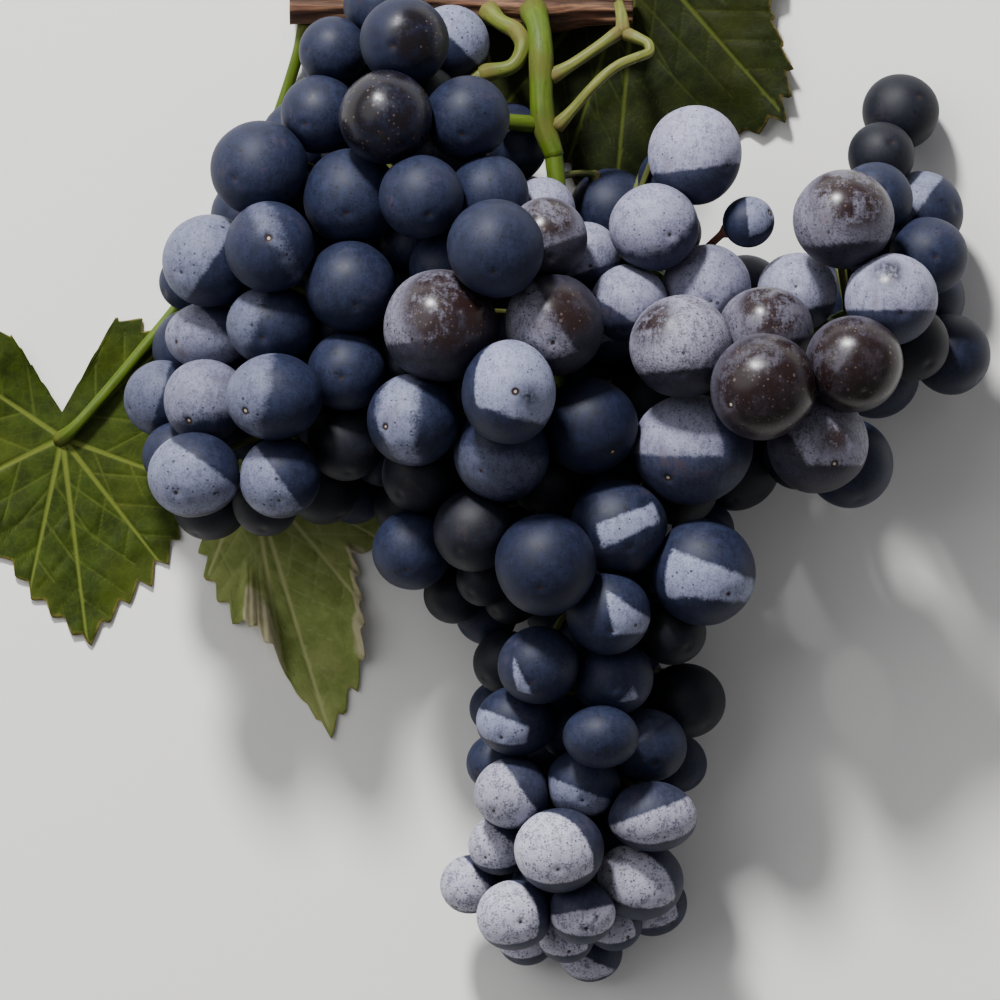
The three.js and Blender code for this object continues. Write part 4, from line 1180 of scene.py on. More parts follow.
def cane_shape():
    """A short length of ripe cane with a swollen node and stringy bark, cut off at both ends."""
    along = np.linspace(0, CANE_RIGHT_X - CANE_LEFT_X, CANE_STEPS)
    path = np.stack([CANE_LEFT_X + along, np.full(CANE_STEPS, CANE_Y), np.full(CANE_STEPS, CANE_Z)], 1)
    girth = np.interp(along, *zip(*CANE_GIRTHS)) * CANE_DIAMETER / 2
    points, faces, traits = sweep(path, girth, CANE_SIDES)
    body = points[1:-1]
    axis = np.repeat(path, CANE_SIDES, axis=0)
    out = body - axis
    strings = bark_strings(out, axis[:, 0], *BROAD_STRINGS, SEED + 1)
    fine = bark_strings(out, axis[:, 0], *FINE_STRINGS, SEED + 2)
    broad = ripple(body, SEED + 3, BROAD_BARK_SIZE)
    lift = (strings - 0.5) * BROAD_STRING_SHARE + (fine - 0.5) * FINE_STRING_SHARE
    lift = BARK_RELIEF * (lift + (broad - 0.5) * BROAD_BARK_SHARE)
    body = axis + out * (1 + lift[:, None] / (CANE_DIAMETER / 2))
    body[:, 2] = np.maximum(body[:, 2], CANE_LOWEST)
    points[1:-1] = body
    points[0, 0] = CANE_LEFT_X
    points[-1, 0] = CANE_RIGHT_X
    traits["cut"] = np.concatenate([[1], np.zeros(len(body)), [1]])
    traits["hollow"] = np.concatenate([[0], (strings + fine) / 2, [0]])
    return points, faces, traits


# Leaves: a lattice of rings and sides, with the rings closer together near the margin
LEAF_RINGS = 52
LEAF_SIDES = 360
RING_CROWDING = 0.85
LEAF_THICKNESS = 0.45
LEAF_HEIGHT = 0.72
LEAST_CLEARANCE = 0.03
OUTLINE_STEPS = 40

# Teeth of the margin: how their sizes vary, and the distances from the joint over which they grow in full
TOOTH_LENGTH = 5.2
TOOTH_DEPTH = 2.3
TOOTH_LEAN = 0.3
TOOTH_LEAST = 0.6
TOOTH_MORE = 0.8
TOOTH_PATCH = 9
TOOTH_GROWTH = (6, 18)
TEETH_BEGIN = 0.72

# Veins: the directions of the main ones, and widths at both ends against the usual width, with the height
MAIN_VEINS = {
    "top_leaf": [-95, -49, 2, 62, 140, 176, 230, 252],
    "low_leaf": [-73, -50, -28, 28, 128, 200, 249, 280],
    "left_leaf": [-83, -52, -20, 42, 146, 206, 258],
}
VEIN_WIDTH = 0.75
VEIN_SINK = 0.3
MAIN_VEIN = (1.0, 0.45, 1.0)
MAIN_VEIN_REACH = 0.97
SIDE_VEIN = (0.75, 0.45, 0.58)
SIDE_VEIN_STEP = 7.5
SIDE_VEIN_ANGLE = 48
SIDE_VEIN_STAGGER = 1.2
SIDE_VEIN_LEAST = 3
SIDE_VEIN_SHARE = 0.5

# Relief of the blade: panels between the veins, and waves where it is clear of the berries and the joint
PUCKER_HEIGHT = 0.3
PUCKER_SIZE = 5.0
PUCKER_LEVEL = 0.35
WAVE_HEIGHT = 3.2
WAVE_SIZE = 26.0
WAVE_LEVEL = 0.25
WAVE_LOWEST = -0.05
CLEAR_OF_BERRIES = (1.5, 10)
CLEAR_OF_JOINT = (9, 20)
HELD_RELIEF = 0.35

# Margins that have dried and rolled up: leaf, direction in degrees, half the spread and where it starts
DRY_MARGINS = [("low_leaf", -86, 6, 0.45), ("low_leaf", -47, 12, 0.72)]
ROLL_HEIGHT = 4.0
ROLL_SIZE = 8
ROLL_LEAST = 0.55
ROLL_MORE = 0.9
ROLL_SPREAD = (0.6, 1.4)
ROLL_PULL = 0.1
PLEAT_HEIGHT = 0.9
PLEATS_EACH_TOOTH = 2


def outline_reach(outline, bearings):
    """How far the margin lies from the joint in each direction, in degrees."""
    spots = np.array([(math.cos(math.radians(a)) * r, math.sin(math.radians(a)) * r) for a, r in outline])
    lap = np.concatenate([spots, spots[:1]])
    steps = np.linspace(0, 1, OUTLINE_STEPS, endpoint=False)
    fine = np.concatenate([a + (b - a) * steps[:, None] for a, b in zip(lap, lap[1:])])
    angle = np.degrees(np.arctan2(fine[:, 1], fine[:, 0]))
    order = np.argsort(angle)
    return np.interp(bearings, angle[order], np.hypot(*fine.T)[order], period=360)


def vein_segments(name, outline):
    """Start, end, width at both ends and height of the main veins and the side veins, from the joint."""
    segments = []
    for bearing in MAIN_VEINS[name]:
        long = float(outline_reach(outline, np.array([bearing]))[0]) * MAIN_VEIN_REACH
        way = np.array([math.cos(math.radians(bearing)), math.sin(math.radians(bearing))])
        segments.append((way * 0, way * long, *MAIN_VEIN))
        gone = SIDE_VEIN_STEP
        while gone < long - SIDE_VEIN_LEAST:
            for side in (-1, 1):
                turn = math.radians(bearing + side * SIDE_VEIN_ANGLE)
                reach = SIDE_VEIN_SHARE * (long - gone) + SIDE_VEIN_LEAST
                start = way * (gone + side * SIDE_VEIN_STAGGER)
                end = start + np.array([math.cos(turn), math.sin(turn)]) * reach
                segments.append((start, end, *SIDE_VEIN))
            gone += SIDE_VEIN_STEP
    return segments


def vein_heights(spots, segments):
    """How much of a vein lies at each spot, from 0 to 1 on the middle of a main vein."""
    heights = np.zeros(len(spots))
    for start, end, thick, thin, height in segments:
        along = end - start
        share = np.clip((spots - start) @ along / (along @ along), 0, 1)
        away = np.linalg.norm(spots - start - share[:, None] * along, axis=1)
        width = VEIN_WIDTH * (thick + (thin - thick) * share)
        heights = np.maximum(heights, np.exp(-(away / width) ** 2) * height)
    return heights


def room_above(spots, berries):
    """How far a spot lies from the outline of the nearest berry above it, in millimetres."""
    places = np.array([berry.place for berry in berries])
    sizes = np.array([berry.radius for berry in berries])
    far = np.linalg.norm(spots[:, None] - places[None, :, :2], axis=2) - sizes
    return far.min(axis=1)


def margin_teeth(name, margin, reach):
    """Where each point of the margin lies along its tooth, from 0 to 1, and how far it stands out."""
    gone = np.cumsum(np.linalg.norm(np.roll(margin, -1, axis=0) - margin, axis=1))
    teeth = max(round(gone[-1] / TOOTH_LENGTH), 1)
    phase = gone / gone[-1] * teeth % 1
    size = TOOTH_LEAST + TOOTH_MORE * ripple(margin @ np.eye(2, 3), SEED + len(name), TOOTH_PATCH)
    tooth = np.where(phase < TOOTH_LEAN, phase / TOOTH_LEAN, (1 - phase) / (1 - TOOTH_LEAN))
    return phase, (tooth - 0.5) * TOOTH_DEPTH * size * ease(*TOOTH_GROWTH, reach)


def dried_roll(name, bearings, share):
    """How far each ring and side of a leaf has dried and rolled up, from 0 to 1."""
    roll = np.zeros((LEAF_RINGS, LEAF_SIDES))
    for leaf, bearing, spread, begin in DRY_MARGINS:
        if leaf == name:
            apart = np.abs((bearings - bearing + 180) % 360 - 180)
            dry = 1 - ease(spread * ROLL_SPREAD[0], spread * ROLL_SPREAD[1], apart)
            roll = np.maximum(roll, ease(begin, 1, share)[:, None] * dry)
    return roll


def blade_height(spots, free, veins, edge, roll, pleats):
    """Height of the middle of a leaf's blade, in millimetres."""
    solid = np.column_stack([spots, np.zeros(len(spots))])
    relief = HELD_RELIEF + (1 - HELD_RELIEF) * free
    panels = (ripple(solid, SEED + 12, PUCKER_SIZE) - PUCKER_LEVEL) * (1 - veins)
    waves = np.maximum(ripple(solid, SEED + 11, WAVE_SIZE) - WAVE_LEVEL, WAVE_LOWEST) * edge
    rolled = roll * (ROLL_LEAST + ROLL_MORE * ripple(solid, SEED + 13, ROLL_SIZE))
    height = LEAF_HEIGHT + relief * (PUCKER_HEIGHT * panels - VEIN_SINK * veins)
    height = height + free * (WAVE_HEIGHT * waves + ROLL_HEIGHT * rolled + PLEAT_HEIGHT * pleats)
    return np.maximum(height, LEAF_THICKNESS / 2 + LEAST_CLEARANCE)


def with_middle(values, middle=0):
    """Values of all rings and sides in one list, after the value at the joint."""
    return np.concatenate([[middle], values.ravel()])


def and_under(values):
    """Values of a blade's upper face, with the same values for its underside in the lattice's order."""
    rings = values[1:].reshape(LEAF_RINGS, LEAF_SIDES, *values.shape[1:])[::-1]
    return np.concatenate([values, rings.reshape(values[1:].shape), values[:1]])


def leaf_shape(name, joint, outline, berries):
    """A blade with toothed margins, sunken veins and raised panels, wavy where nothing lies on it."""
    bearings = 360 * np.arange(LEAF_SIDES) / LEAF_SIDES
    turns = np.radians(bearings)
    out = np.stack([np.cos(turns), np.sin(turns)], 1)
    reach = outline_reach(outline, bearings)
    phase, tooth = margin_teeth(name, out * reach[:, None], reach)
    share = (np.arange(1, LEAF_RINGS + 1) / LEAF_RINGS) ** RING_CROWDING
    roll = dried_roll(name, bearings, share)
    pleats = with_middle(roll * np.sin(2 * np.pi * phase * PLEATS_EACH_TOOTH))
    ring = share[:, None] * reach + ease(TEETH_BEGIN, 1, share)[:, None] * tooth
    ring = ring * (1 - ROLL_PULL * roll ** 2)
    flat = np.concatenate([[[0, 0]], (ring[..., None] * out).reshape(-1, 2)])
    spots = flat + np.array(joint)
    veins = vein_heights(flat, vein_segments(name, outline))
    edge = with_middle(np.repeat(share, LEAF_SIDES))
    roll = with_middle(roll)
    free = ease(*CLEAR_OF_BERRIES, room_above(spots, berries))
    free = free * ease(*CLEAR_OF_JOINT, np.linalg.norm(flat, axis=1))
    height = blade_height(spots, free, veins, edge, roll, pleats)
    points = and_under(np.column_stack([spots, height + LEAF_THICKNESS / 2]))
    points[len(flat):, 2] -= LEAF_THICKNESS
    traits = {
        "vein": and_under(veins),
        "dry": and_under(roll),
        "edge": and_under(edge),
        "under": np.repeat([0.0, 1.0], len(flat)),
        "grain": points,
    }
    return points, lattice_faces(2 * LEAF_RINGS, LEAF_SIDES), traits


# Inlets and outlet of Blender's colour mix
MIX_FIRST = 6
MIX_SECOND = 7
MIX_RESULT = 2


def paint(*colour):
    """A colour as read on a screen, in red, green and blue from 0 to 255, for a shader."""
    parts = [value / 255 for value in colour]
    return (*(part / 12.92 if part <= 0.04045 else ((part + 0.055) / 1.055) ** 2.4 for part in parts), 1)


class Recipe:
    """A material's nodes. Each call adds nodes and returns their outlet."""

    def __init__(self, name):
        self.material = bpy.data.materials.new(name)
        self.material.use_nodes = True
        self.tree = self.material.node_tree
        self.shader = self.tree.nodes["Principled BSDF"]

    def add(self, kind, **inputs):
        """A node of a kind, with what its named inlets are set to or fed by."""
        node = self.tree.nodes.new(f"ShaderNode{kind}")
        for name, value in inputs.items():
            self.feed(node.inputs[name.replace("_", " ")], value)
        return node

    def feed(self, socket, value):
        if isinstance(value, bpy.types.NodeSocket):
            self.tree.links.new(value, socket)
        else:
            socket.default_value = value

    def set(self, **values):
        for name, value in values.items():
            self.feed(self.shader.inputs[name.replace("_", " ")], value)

    def trait(self, name, outlet="Fac"):
        node = self.add("Attribute")
        node.attribute_name = name
        return node.outputs[outlet]

    def stretched(self, vector, scale):
        node = self.add("VectorMath")
        node.operation = "MULTIPLY"
        self.feed(node.inputs[0], vector)
        node.inputs[1].default_value = scale
        return node.outputs["Vector"]

    def noise(self, vector, size, detail=2.0, rough=0.5):
        node = self.add("TexNoise", Vector=vector, Scale=1 / size, Detail=detail, Roughness=rough)
        return node.outputs["Fac"]

    def cells(self, vector, size):
        """Distance to the middle of the nearest cell, and a random number for that cell."""
        node = self.add("TexVoronoi", Vector=vector, Scale=1 / size)
        parts = self.add("SeparateColor", Color=node.outputs["Color"])
        return node.outputs["Distance"], parts.outputs[0]

    def net(self, vector, size):
        """Distance to the nearest edge between cells."""
        node = self.add("TexVoronoi", Vector=vector, Scale=1 / size)
        node.feature = "DISTANCE_TO_EDGE"
        return node.outputs["Distance"]

    def work_out(self, kind, first, second, clamp=False):
        node = self.add("Math")
        node.operation = kind
        node.use_clamp = clamp
        self.feed(node.inputs[0], first)
        self.feed(node.inputs[1], second)
        return node.outputs[0]

    def times(self, first, second):
        return self.work_out("MULTIPLY", first, second)

    def plus(self, first, second):
        return self.work_out("ADD", first, second)

    def minus(self, first, second):
        return self.work_out("SUBTRACT", first, second)

    def most(self, first, second):
        return self.work_out("MAXIMUM", first, second)

    def shifted(self, value, *noises):
        """A value moved up and down by noises, each given with its strength."""
        for noise, strength in noises:
            value = self.plus(value, self.times(self.minus(noise, 0.5), strength))
        return value

    def step(self, value, low, high, start=0.0, end=1.0):
        """A smooth step from start, below low, to end, above high."""
        node = self.add("MapRange")
        node.interpolation_type = "SMOOTHSTEP"
        for name, number in zip(("Value", "From Min", "From Max", "To Min", "To Max"),
                                (value, low, high, start, end)):
            self.feed(node.inputs[name], number)
        return node.outputs["Result"]

    def mix(self, share, first, second):
        node = self.add("Mix")
        node.data_type = "RGBA"
        self.feed(node.inputs["Factor"], share)
        self.feed(node.inputs[MIX_FIRST], first)
        self.feed(node.inputs[MIX_SECOND], second)
        return node.outputs[MIX_RESULT]

    def bump(self, height, strength, distance):
        node = self.add("Bump", Strength=strength, Distance=distance, Height=height)
        self.feed(self.shader.inputs["Normal"], node.outputs["Normal"])


# Noises on a berry's skin: feature size in millimetres, detail and roughness
BROAD_NOISE = (5.5,)
MIDDLE_NOISE = (1.9, 4.0, 0.65)
FINE_NOISE = (0.42, 3.0, 0.7)
SMEAR_NOISE = (0.7, 3.0, 0.6)
SMEAR_STRETCH = (1, 0.22, 0.5)

# Steps on a berry's skin: where each begins and ends, and then what it gives there, if not 0 and 1
RUBBED_STEP = (0.25, 0.8, 0.0, 0.95)
FILM_STEP = (0.38, 0.72, 1.0, 0.45)
# Edge of the painted sunlight
SUNLIT_STEP = (-0.04, 0.06)
POWDER_STEP = (0.25, 0.75)
STIPPLE_STEP = (0.36, 0.5)
RUSSET_STEP = (0.6, 0.85)
SCAR_RING_STEP = (0.55, 1.0, 1.0, 0.0)
SCAR_CORE_STEP = (0.2, 0.34, 1.0, 0.0)
GLOSS_STEP = (0.1, 0.95, 0.6, 0.27)

# Specks: cell size, unevenness by noise and by chance, where choice starts, and the inner and outer radius
FINE_SPECKS = (0.95, 0.3, 0.12, -0.02, 0.1, 0.24)
LARGE_SPECKS = (2.7, 0.16, 0.08, 0.0, 0.07, 0.13)
SPECK_CHOICE_END = 0.05
SPECK_STRENGTH = 0.8
DOT_STRENGTH = 0.28
DUST_STRENGTH = 0.65

# Colours that all berries share: stains of russet, pale dots on rubbed skin, and the style scar
RUSSET = paint(70, 52, 50)
PALE_DOT = paint(150, 128, 120)
SCAR_RING = paint(38, 26, 24)
SCAR_CORE = paint(170, 160, 150)

# Bumps of the skins: strength and height in metres
BERRY_BUMP = (0.22, 0.00006)
STEM_BUMP = (0.4, 0.00015)
BARK_BUMP = (0.6, 0.0004)
BLADE_BUMP = (0.3, 0.0003)


def skin_specks(recipe, grain, fine, size, uneven, random_size, least, inner, outer):
    """Small round specks in some of the cells of a size, more of them where the trait is higher."""
    far, chance = recipe.cells(grain, size)
    far = recipe.shifted(far, (fine, uneven), (chance, random_size))
    chosen = recipe.step(recipe.minus(recipe.trait("specks"), chance), least, SPECK_CHOICE_END)
    return recipe.times(recipe.step(far, inner, outer, 1.0, 0.0), chosen)


def berry_skin(name, skin, bloom, dust, veil, pale, speck, russet, stipple):
    """Dark skin under a waxy bloom that is painted pale in sunlit areas as painted sunlight, rubbed off in
    others and specked.
    """
    recipe = Recipe(f"skin_{name}")
    skin, bloom, dust, veil, pale, speck = (paint(*c) for c in (skin, bloom, dust, veil, pale, speck))
    grain = recipe.trait("grain", "Vector")
    broad = recipe.noise(grain, *BROAD_NOISE)
    middle = recipe.noise(grain, *MIDDLE_NOISE)
    fine = recipe.noise(grain, *FINE_NOISE)
    smear = recipe.noise(recipe.stretched(grain, SMEAR_STRETCH), *SMEAR_NOISE)
    worn = recipe.shifted(recipe.trait("worn"), (broad, 0.5), (middle, 0.9), (fine, 0.4), (smear, 0.3))
    film = recipe.shifted(broad, (middle, 0.8), (fine, 0.4), (smear, 0.4))
    rubbed = recipe.times(recipe.step(worn, *RUBBED_STEP), recipe.step(film, *FILM_STEP))
    kept = recipe.minus(1.0, rubbed)
    cover = recipe.shifted(recipe.trait("bloom"), (broad, 0.5), (middle, 0.5), (fine, 0.5), (smear, 0.35))
    cover = recipe.times(recipe.work_out("MULTIPLY", cover, 1.0, clamp=True), kept)
    # Painted sunlight: pale bloom where light falls, ending at painted shadow edges
    thick = recipe.shifted(recipe.trait("pale"), (broad, 0.08), (middle, 0.1), (fine, 0.06))
    thick = recipe.times(recipe.step(thick, *SUNLIT_STEP), recipe.trait("thick"))
    thick = recipe.times(thick, kept)
    cloud = recipe.shifted(fine, (middle, 0.7), (smear, 0.4))
    powder = recipe.step(cloud, *POWDER_STEP)
    specks = recipe.most(*(skin_specks(recipe, grain, fine, *kind) for kind in (FINE_SPECKS, LARGE_SPECKS)))
    colour = recipe.mix(recipe.times(powder, DUST_STRENGTH), bloom, dust)
    colour = recipe.mix(cover, skin, colour)
    # The painted sunlit bloom, mottled between veil and pale
    sunlit_bloom = recipe.mix(powder, veil, pale)
    sunlit_bloom = recipe.mix(recipe.step(cloud, *STIPPLE_STEP, stipple, 0.0), sunlit_bloom, speck)
    colour = recipe.mix(thick, colour, sunlit_bloom)
    stain = recipe.step(recipe.shifted(broad, (middle, 0.7), (fine, 0.3)), *RUSSET_STEP, 0.0, russet)
    colour = recipe.mix(recipe.times(stain, kept), colour, RUSSET)
    colour = recipe.mix(recipe.times(specks, recipe.step(kept, 0, 1, 0.0, SPECK_STRENGTH)), colour, speck)
    colour = recipe.mix(recipe.times(recipe.times(specks, rubbed), DOT_STRENGTH), colour, PALE_DOT)
    scar = recipe.shifted(recipe.trait("scar"), (middle, 0.7))
    ring = recipe.step(scar, *SCAR_RING_STEP)
    colour = recipe.mix(ring, colour, SCAR_RING)
    colour = recipe.mix(recipe.step(scar, *SCAR_CORE_STEP), colour, SCAR_CORE)
    bare = recipe.minus(1.0, recipe.most(cover, thick))
    gloss = recipe.step(bare, *GLOSS_STEP)
    recipe.set(Base_Color=colour, Roughness=gloss, IOR=1.42, Specular_IOR_Level=0.38)
    height = recipe.plus(recipe.times(fine, 0.6), recipe.times(cover, 0.6))
    recipe.bump(recipe.minus(height, recipe.times(ring, 1.4)), *BERRY_BUMP)
    return recipe.material


# Stems: streaks along them, blotches, and dots of which some cells have one, with woody, rougher joints
STREAK_STRETCH = (1, 1, 0.12)
STREAK_NOISE = (0.7, 3.0)
STREAK_STEP = (0.3, 0.7)
BLOTCH_NOISE = (4.5,)
BLOTCH_STEP = (0.5, 0.75, 0.0, 0.25)
DOT_STRETCH = (1, 1, 0.6)
DOT_CELL = 0.9
DOT_STEP = (0.12, 0.26, 1.0, 0.0)
DOT_CHANCE = (0.6, 0.7)
STEM_DOT = paint(70, 52, 34)
JOINT_STEP = (0.35, 0.95)
JOINT_ROUGHER = 0.2


def stem_skin(name, fresh, shade, woody, rough):
    """A green stem with long streaks, small dark dots and woody joints."""
    recipe = Recipe(f"stem_{name}_grown")
    fresh, shade, woody = paint(*fresh), paint(*shade), paint(*woody)
    grain = recipe.trait("grain", "Vector")
    streaks = recipe.noise(recipe.stretched(grain, STREAK_STRETCH), *STREAK_NOISE)
    blotch = recipe.noise(grain, *BLOTCH_NOISE)
    far, chance = recipe.cells(recipe.stretched(grain, DOT_STRETCH), DOT_CELL)
    dots = recipe.times(recipe.step(far, *DOT_STEP), recipe.step(chance, *DOT_CHANCE))
    joint = recipe.shifted(recipe.trait("node"), (blotch, 0.7), (streaks, 0.4))
    joint = recipe.step(joint, *JOINT_STEP)
    colour = recipe.mix(recipe.step(streaks, *STREAK_STEP), shade, fresh)
    colour = recipe.mix(recipe.step(blotch, *BLOTCH_STEP), colour, woody)
    colour = recipe.mix(recipe.times(joint, 0.5), colour, woody)
    colour = recipe.mix(recipe.times(dots, 0.5), colour, STEM_DOT)
    roughness = recipe.step(joint, 0, 1, rough, rough + JOINT_ROUGHER)
    recipe.set(Base_Color=colour, Roughness=roughness, Specular_IOR_Level=0.3)
    recipe.bump(recipe.minus(streaks, recipe.times(dots, 0.5)), *STEM_BUMP)
    return recipe.material


# Bark, and the wood that shows where the cane is cut
BARK_BROWN = paint(74, 46, 30)
BARK_STRING = paint(128, 92, 62)
BARK_RED = paint(100, 58, 40)
BARK_HOLLOW = paint(46, 30, 22)
CUT_WOOD = paint(186, 164, 120)
PITH = paint(120, 92, 62)
STRING_STRETCH = (1, 1, 0.06)
STRING_NOISE = (0.5, 4.0, 0.6)
STRING_STEP = (0.35, 0.65)
RED_STRETCH = (1, 1, 0.4)
RED_NOISE = (4.0, 3.0)
RED_STEP = (0.45, 0.7, 0.0, 0.6)
HOLLOW_STEP = (0.35, 0.55, 0.6, 0.0)
WOOD_STEP = (0.02, 0.1)
PITH_STEP = (0.62, 0.72)
BARK_ROUGHNESS = 0.78


def bark_skin():
    """Ripe cane: red-brown bark with paler raised strings, and pale wood with a dark pith where it is cut."""
    recipe = Recipe("cane_bark_grown")
    grain = recipe.trait("grain", "Vector")
    strings = recipe.noise(recipe.stretched(grain, STRING_STRETCH), *STRING_NOISE)
    broad = recipe.noise(recipe.stretched(grain, RED_STRETCH), *RED_NOISE)
    colour = recipe.mix(recipe.step(strings, *STRING_STEP), BARK_BROWN, BARK_STRING)
    colour = recipe.mix(recipe.step(broad, *RED_STEP), colour, BARK_RED)
    colour = recipe.mix(recipe.step(recipe.trait("hollow"), *HOLLOW_STEP), colour, BARK_HOLLOW)
    colour = recipe.mix(recipe.step(recipe.trait("cut"), *WOOD_STEP), colour, CUT_WOOD)
    colour = recipe.mix(recipe.step(recipe.trait("cut"), *PITH_STEP), colour, PITH)
    recipe.set(Base_Color=colour, Roughness=BARK_ROUGHNESS)
    recipe.bump(strings, *BARK_BUMP)
    return recipe.material


# Leaves: mottled, with yellow areas, a net of fine veins, a paler underside, a brown rim and dried margins
MOTTLE_NOISE = (3.2, 4.0, 0.6)
MOTTLE_STEP = (0.3, 0.7)
YELLOW_NOISE = (17.0,)
YELLOW_STEP = (0.45, 0.75, 0.0, 0.55)
NET_SIZE = 1.9
NET_STEP = (0.02, 0.12, 1.0, 0.0)
NET_STRENGTH = 0.05
VEIN_STEP = (0.3, 0.95, 0.0, 0.75)
UNDERSIDE_STRENGTH = 0.5
RIM_STEP = (0.975, 1.01, 0.0, 0.5)
DRY_STEP = (0.3, 0.6)
BLADE_ROUGHNESS = (0.6, 0.8)
BLADE_UNDERSIDE = paint(150, 160, 118)
BLADE_RIM = paint(150, 128, 70)
DRY_BEIGE = paint(160, 150, 104)
DRY_PALE = paint(212, 206, 172)


def blade_skin(name, upper, deep, yellow, line):
    """A vine leaf: dark panels, paler veins with a fine net, a paler underside and beige dried margins."""
    recipe = Recipe(f"blade_{name}")
    upper, deep, yellow, line = paint(*upper), paint(*deep), paint(*yellow), paint(*line)
    grain = recipe.trait("grain", "Vector")
    mottle = recipe.noise(grain, *MOTTLE_NOISE)
    broad = recipe.noise(grain, *YELLOW_NOISE)
    lines = recipe.step(recipe.net(grain, NET_SIZE), *NET_STEP)
    colour = recipe.mix(recipe.step(mottle, *MOTTLE_STEP), deep, upper)
    colour = recipe.mix(recipe.step(broad, *YELLOW_STEP), colour, yellow)
    colour = recipe.mix(recipe.times(lines, NET_STRENGTH), colour, line)
    colour = recipe.mix(recipe.step(recipe.trait("vein"), *VEIN_STEP), colour, line)
    colour = recipe.mix(recipe.times(recipe.trait("under"), UNDERSIDE_STRENGTH), colour, BLADE_UNDERSIDE)
    rim = recipe.step(recipe.shifted(recipe.trait("edge"), (mottle, 0.06)), *RIM_STEP)
    colour = recipe.mix(rim, colour, BLADE_RIM)
    dry = recipe.step(recipe.shifted(recipe.trait("dry"), (mottle, 0.5)), *DRY_STEP)
    colour = recipe.mix(dry, colour, recipe.mix(mottle, DRY_BEIGE, DRY_PALE))
    roughness = recipe.step(dry, 0, 1, *BLADE_ROUGHNESS)
    recipe.set(Base_Color=colour, Roughness=roughness, Specular_IOR_Level=0.13)
    recipe.bump(recipe.minus(recipe.times(mottle, 0.6), recipe.times(lines, 0.12)), *BLADE_BUMP)
    return recipe.material


# Skins of berries: colours of the bare skin, of thin and dusty bloom, of the veiled and pale bloom that is
# painted sunlight and of specks, then how strong the russet stains and the stipple are. The shaded slate,
# dusk and deep shade skins are darkened as painted shade.
SKIN_COLOURS = {
    "slate_shaded": ((11, 10, 14), (25, 31, 54), (40, 48, 77), (116, 120, 146), (142, 146, 172), (14, 14, 22),
              0.25, 0.2),
    "dusk_shaded": ((21, 16, 18), (16, 23, 45), (27, 37, 69), (116, 120, 146), (142, 146, 172), (12, 12, 19),
             0.2, 0.2),
    "deep_shade": ((8, 7, 9), (15, 17, 27), (27, 30, 44), (70, 74, 98), (100, 104, 128), (6, 6, 10), 0.2, 0.3),
    "sable": ((30, 18, 17), (34, 32, 42), (60, 57, 69), (98, 95, 112), (126, 125, 142), (12, 8, 9),
              0.45, 0.35),
    "umber": ((36, 23, 21), (30, 33, 48), (60, 61, 78), (112, 109, 126), (148, 146, 164), (24, 17, 19),
              0.45, 0.4),
    "silver": ((16, 15, 21), (40, 44, 65), (60, 65, 90), (126, 127, 151), (158, 158, 180), (38, 37, 50),
               0.5, 0.24),
    "ash": ((16, 15, 20), (38, 42, 62), (58, 62, 86), (156, 155, 174), (180, 178, 194), (40, 40, 54),
            0.3, 0.55),
}
SKINS = {name: berry_skin(name, *colours) for name, colours in SKIN_COLOURS.items()}
SKIN_NAMES = list(SKINS)

# Skins of stems: fresh, shaded and woody colour, and roughness
GREEN = stem_skin("green", (80, 100, 18), (62, 82, 12), (82, 76, 26), 0.55)
PALE_GREEN = stem_skin("pale", (104, 112, 44), (78, 88, 28), (96, 82, 40), 0.5)
KHAKI = stem_skin("khaki", (112, 116, 54), (84, 90, 36), (92, 74, 40), 0.5)
# The berries' own stems are darkened as painted shade
SHADED_PEDICEL_SKIN = stem_skin("pedicel", (84, 92, 40), (62, 62, 28), (84, 56, 40), 0.6)
PINK_STEM = stem_skin("pink", (158, 112, 98), (130, 82, 66), (104, 60, 48), 0.5)
BARK = bark_skin()

# Skins of leaves: colours of the panels, their hollows, yellow areas and veins; the top and left leaves are
# darkened as painted shade and the low leaf is lightened as painted light
BLADE_SKINS = {
    "top_leaf": blade_skin("top", (28, 36, 4), (17, 23, 2), (46, 50, 6), (70, 78, 24)),
    "low_leaf": blade_skin("low", (138, 150, 82), (114, 128, 62), (164, 168, 104), (182, 184, 126)),
    "left_leaf": blade_skin("left", (50, 64, 10), (34, 45, 5), (74, 82, 18), (104, 114, 44)),
}


def grow_berries(berries, bones):
    """One piece for each berry node of the part."""
    places = np.array([berry.place for berry in berries])
    sizes = np.array([berry.radius for berry in berries])
    nodes = {}
    for number, berry in enumerate(berries):
        far = np.linalg.norm(places - places[number], axis=1)
        close = np.flatnonzero(far < (sizes + berry.radius) * TOUCHING_SIZES)
        near = [berries[i] for i in close if i != number]
        shape = berry_mesh(berry, near, bones)
        nodes.setdefault(berry.node, []).append((berry, shape))
    for node, members in nodes.items():
        kinds = np.concatenate([
            np.full(len(shape[1]), SKIN_NAMES.index(LOOKS[berry.look][0])) for berry, shape in members
        ])
        cad_node = "berry_lone" if node == "lone" else f"berries_{node}"
        piece = make_piece(f"ripe_{node}", joined([shape for _, shape in members]), SKINS.values(), kinds)
        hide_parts(cad_node)


def grow_pedicels(berries, bones):
    """The berries' own stems as one piece, and the lone berry's stem as another."""
    shapes = []
    for berry in berries:
        target = nearest_bone(berry, berry.neck, bones)
        if berry.node == "lone":
            lone = pedicel_shape(berry, target, berries, LONE_STEM_DIAMETER)
            make_piece("pedicel_lone", lone, [PINK_STEM])
        else:
            shapes.append(pedicel_shape(berry, target, berries))
    make_piece("pedicels", joined(shapes), [SHADED_PEDICEL_SKIN])


def grow(node, shape, skin):
    """One piece in place of a node of the part."""
    piece = make_piece(f"{node}_grown", shape, [skin])
    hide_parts(node)


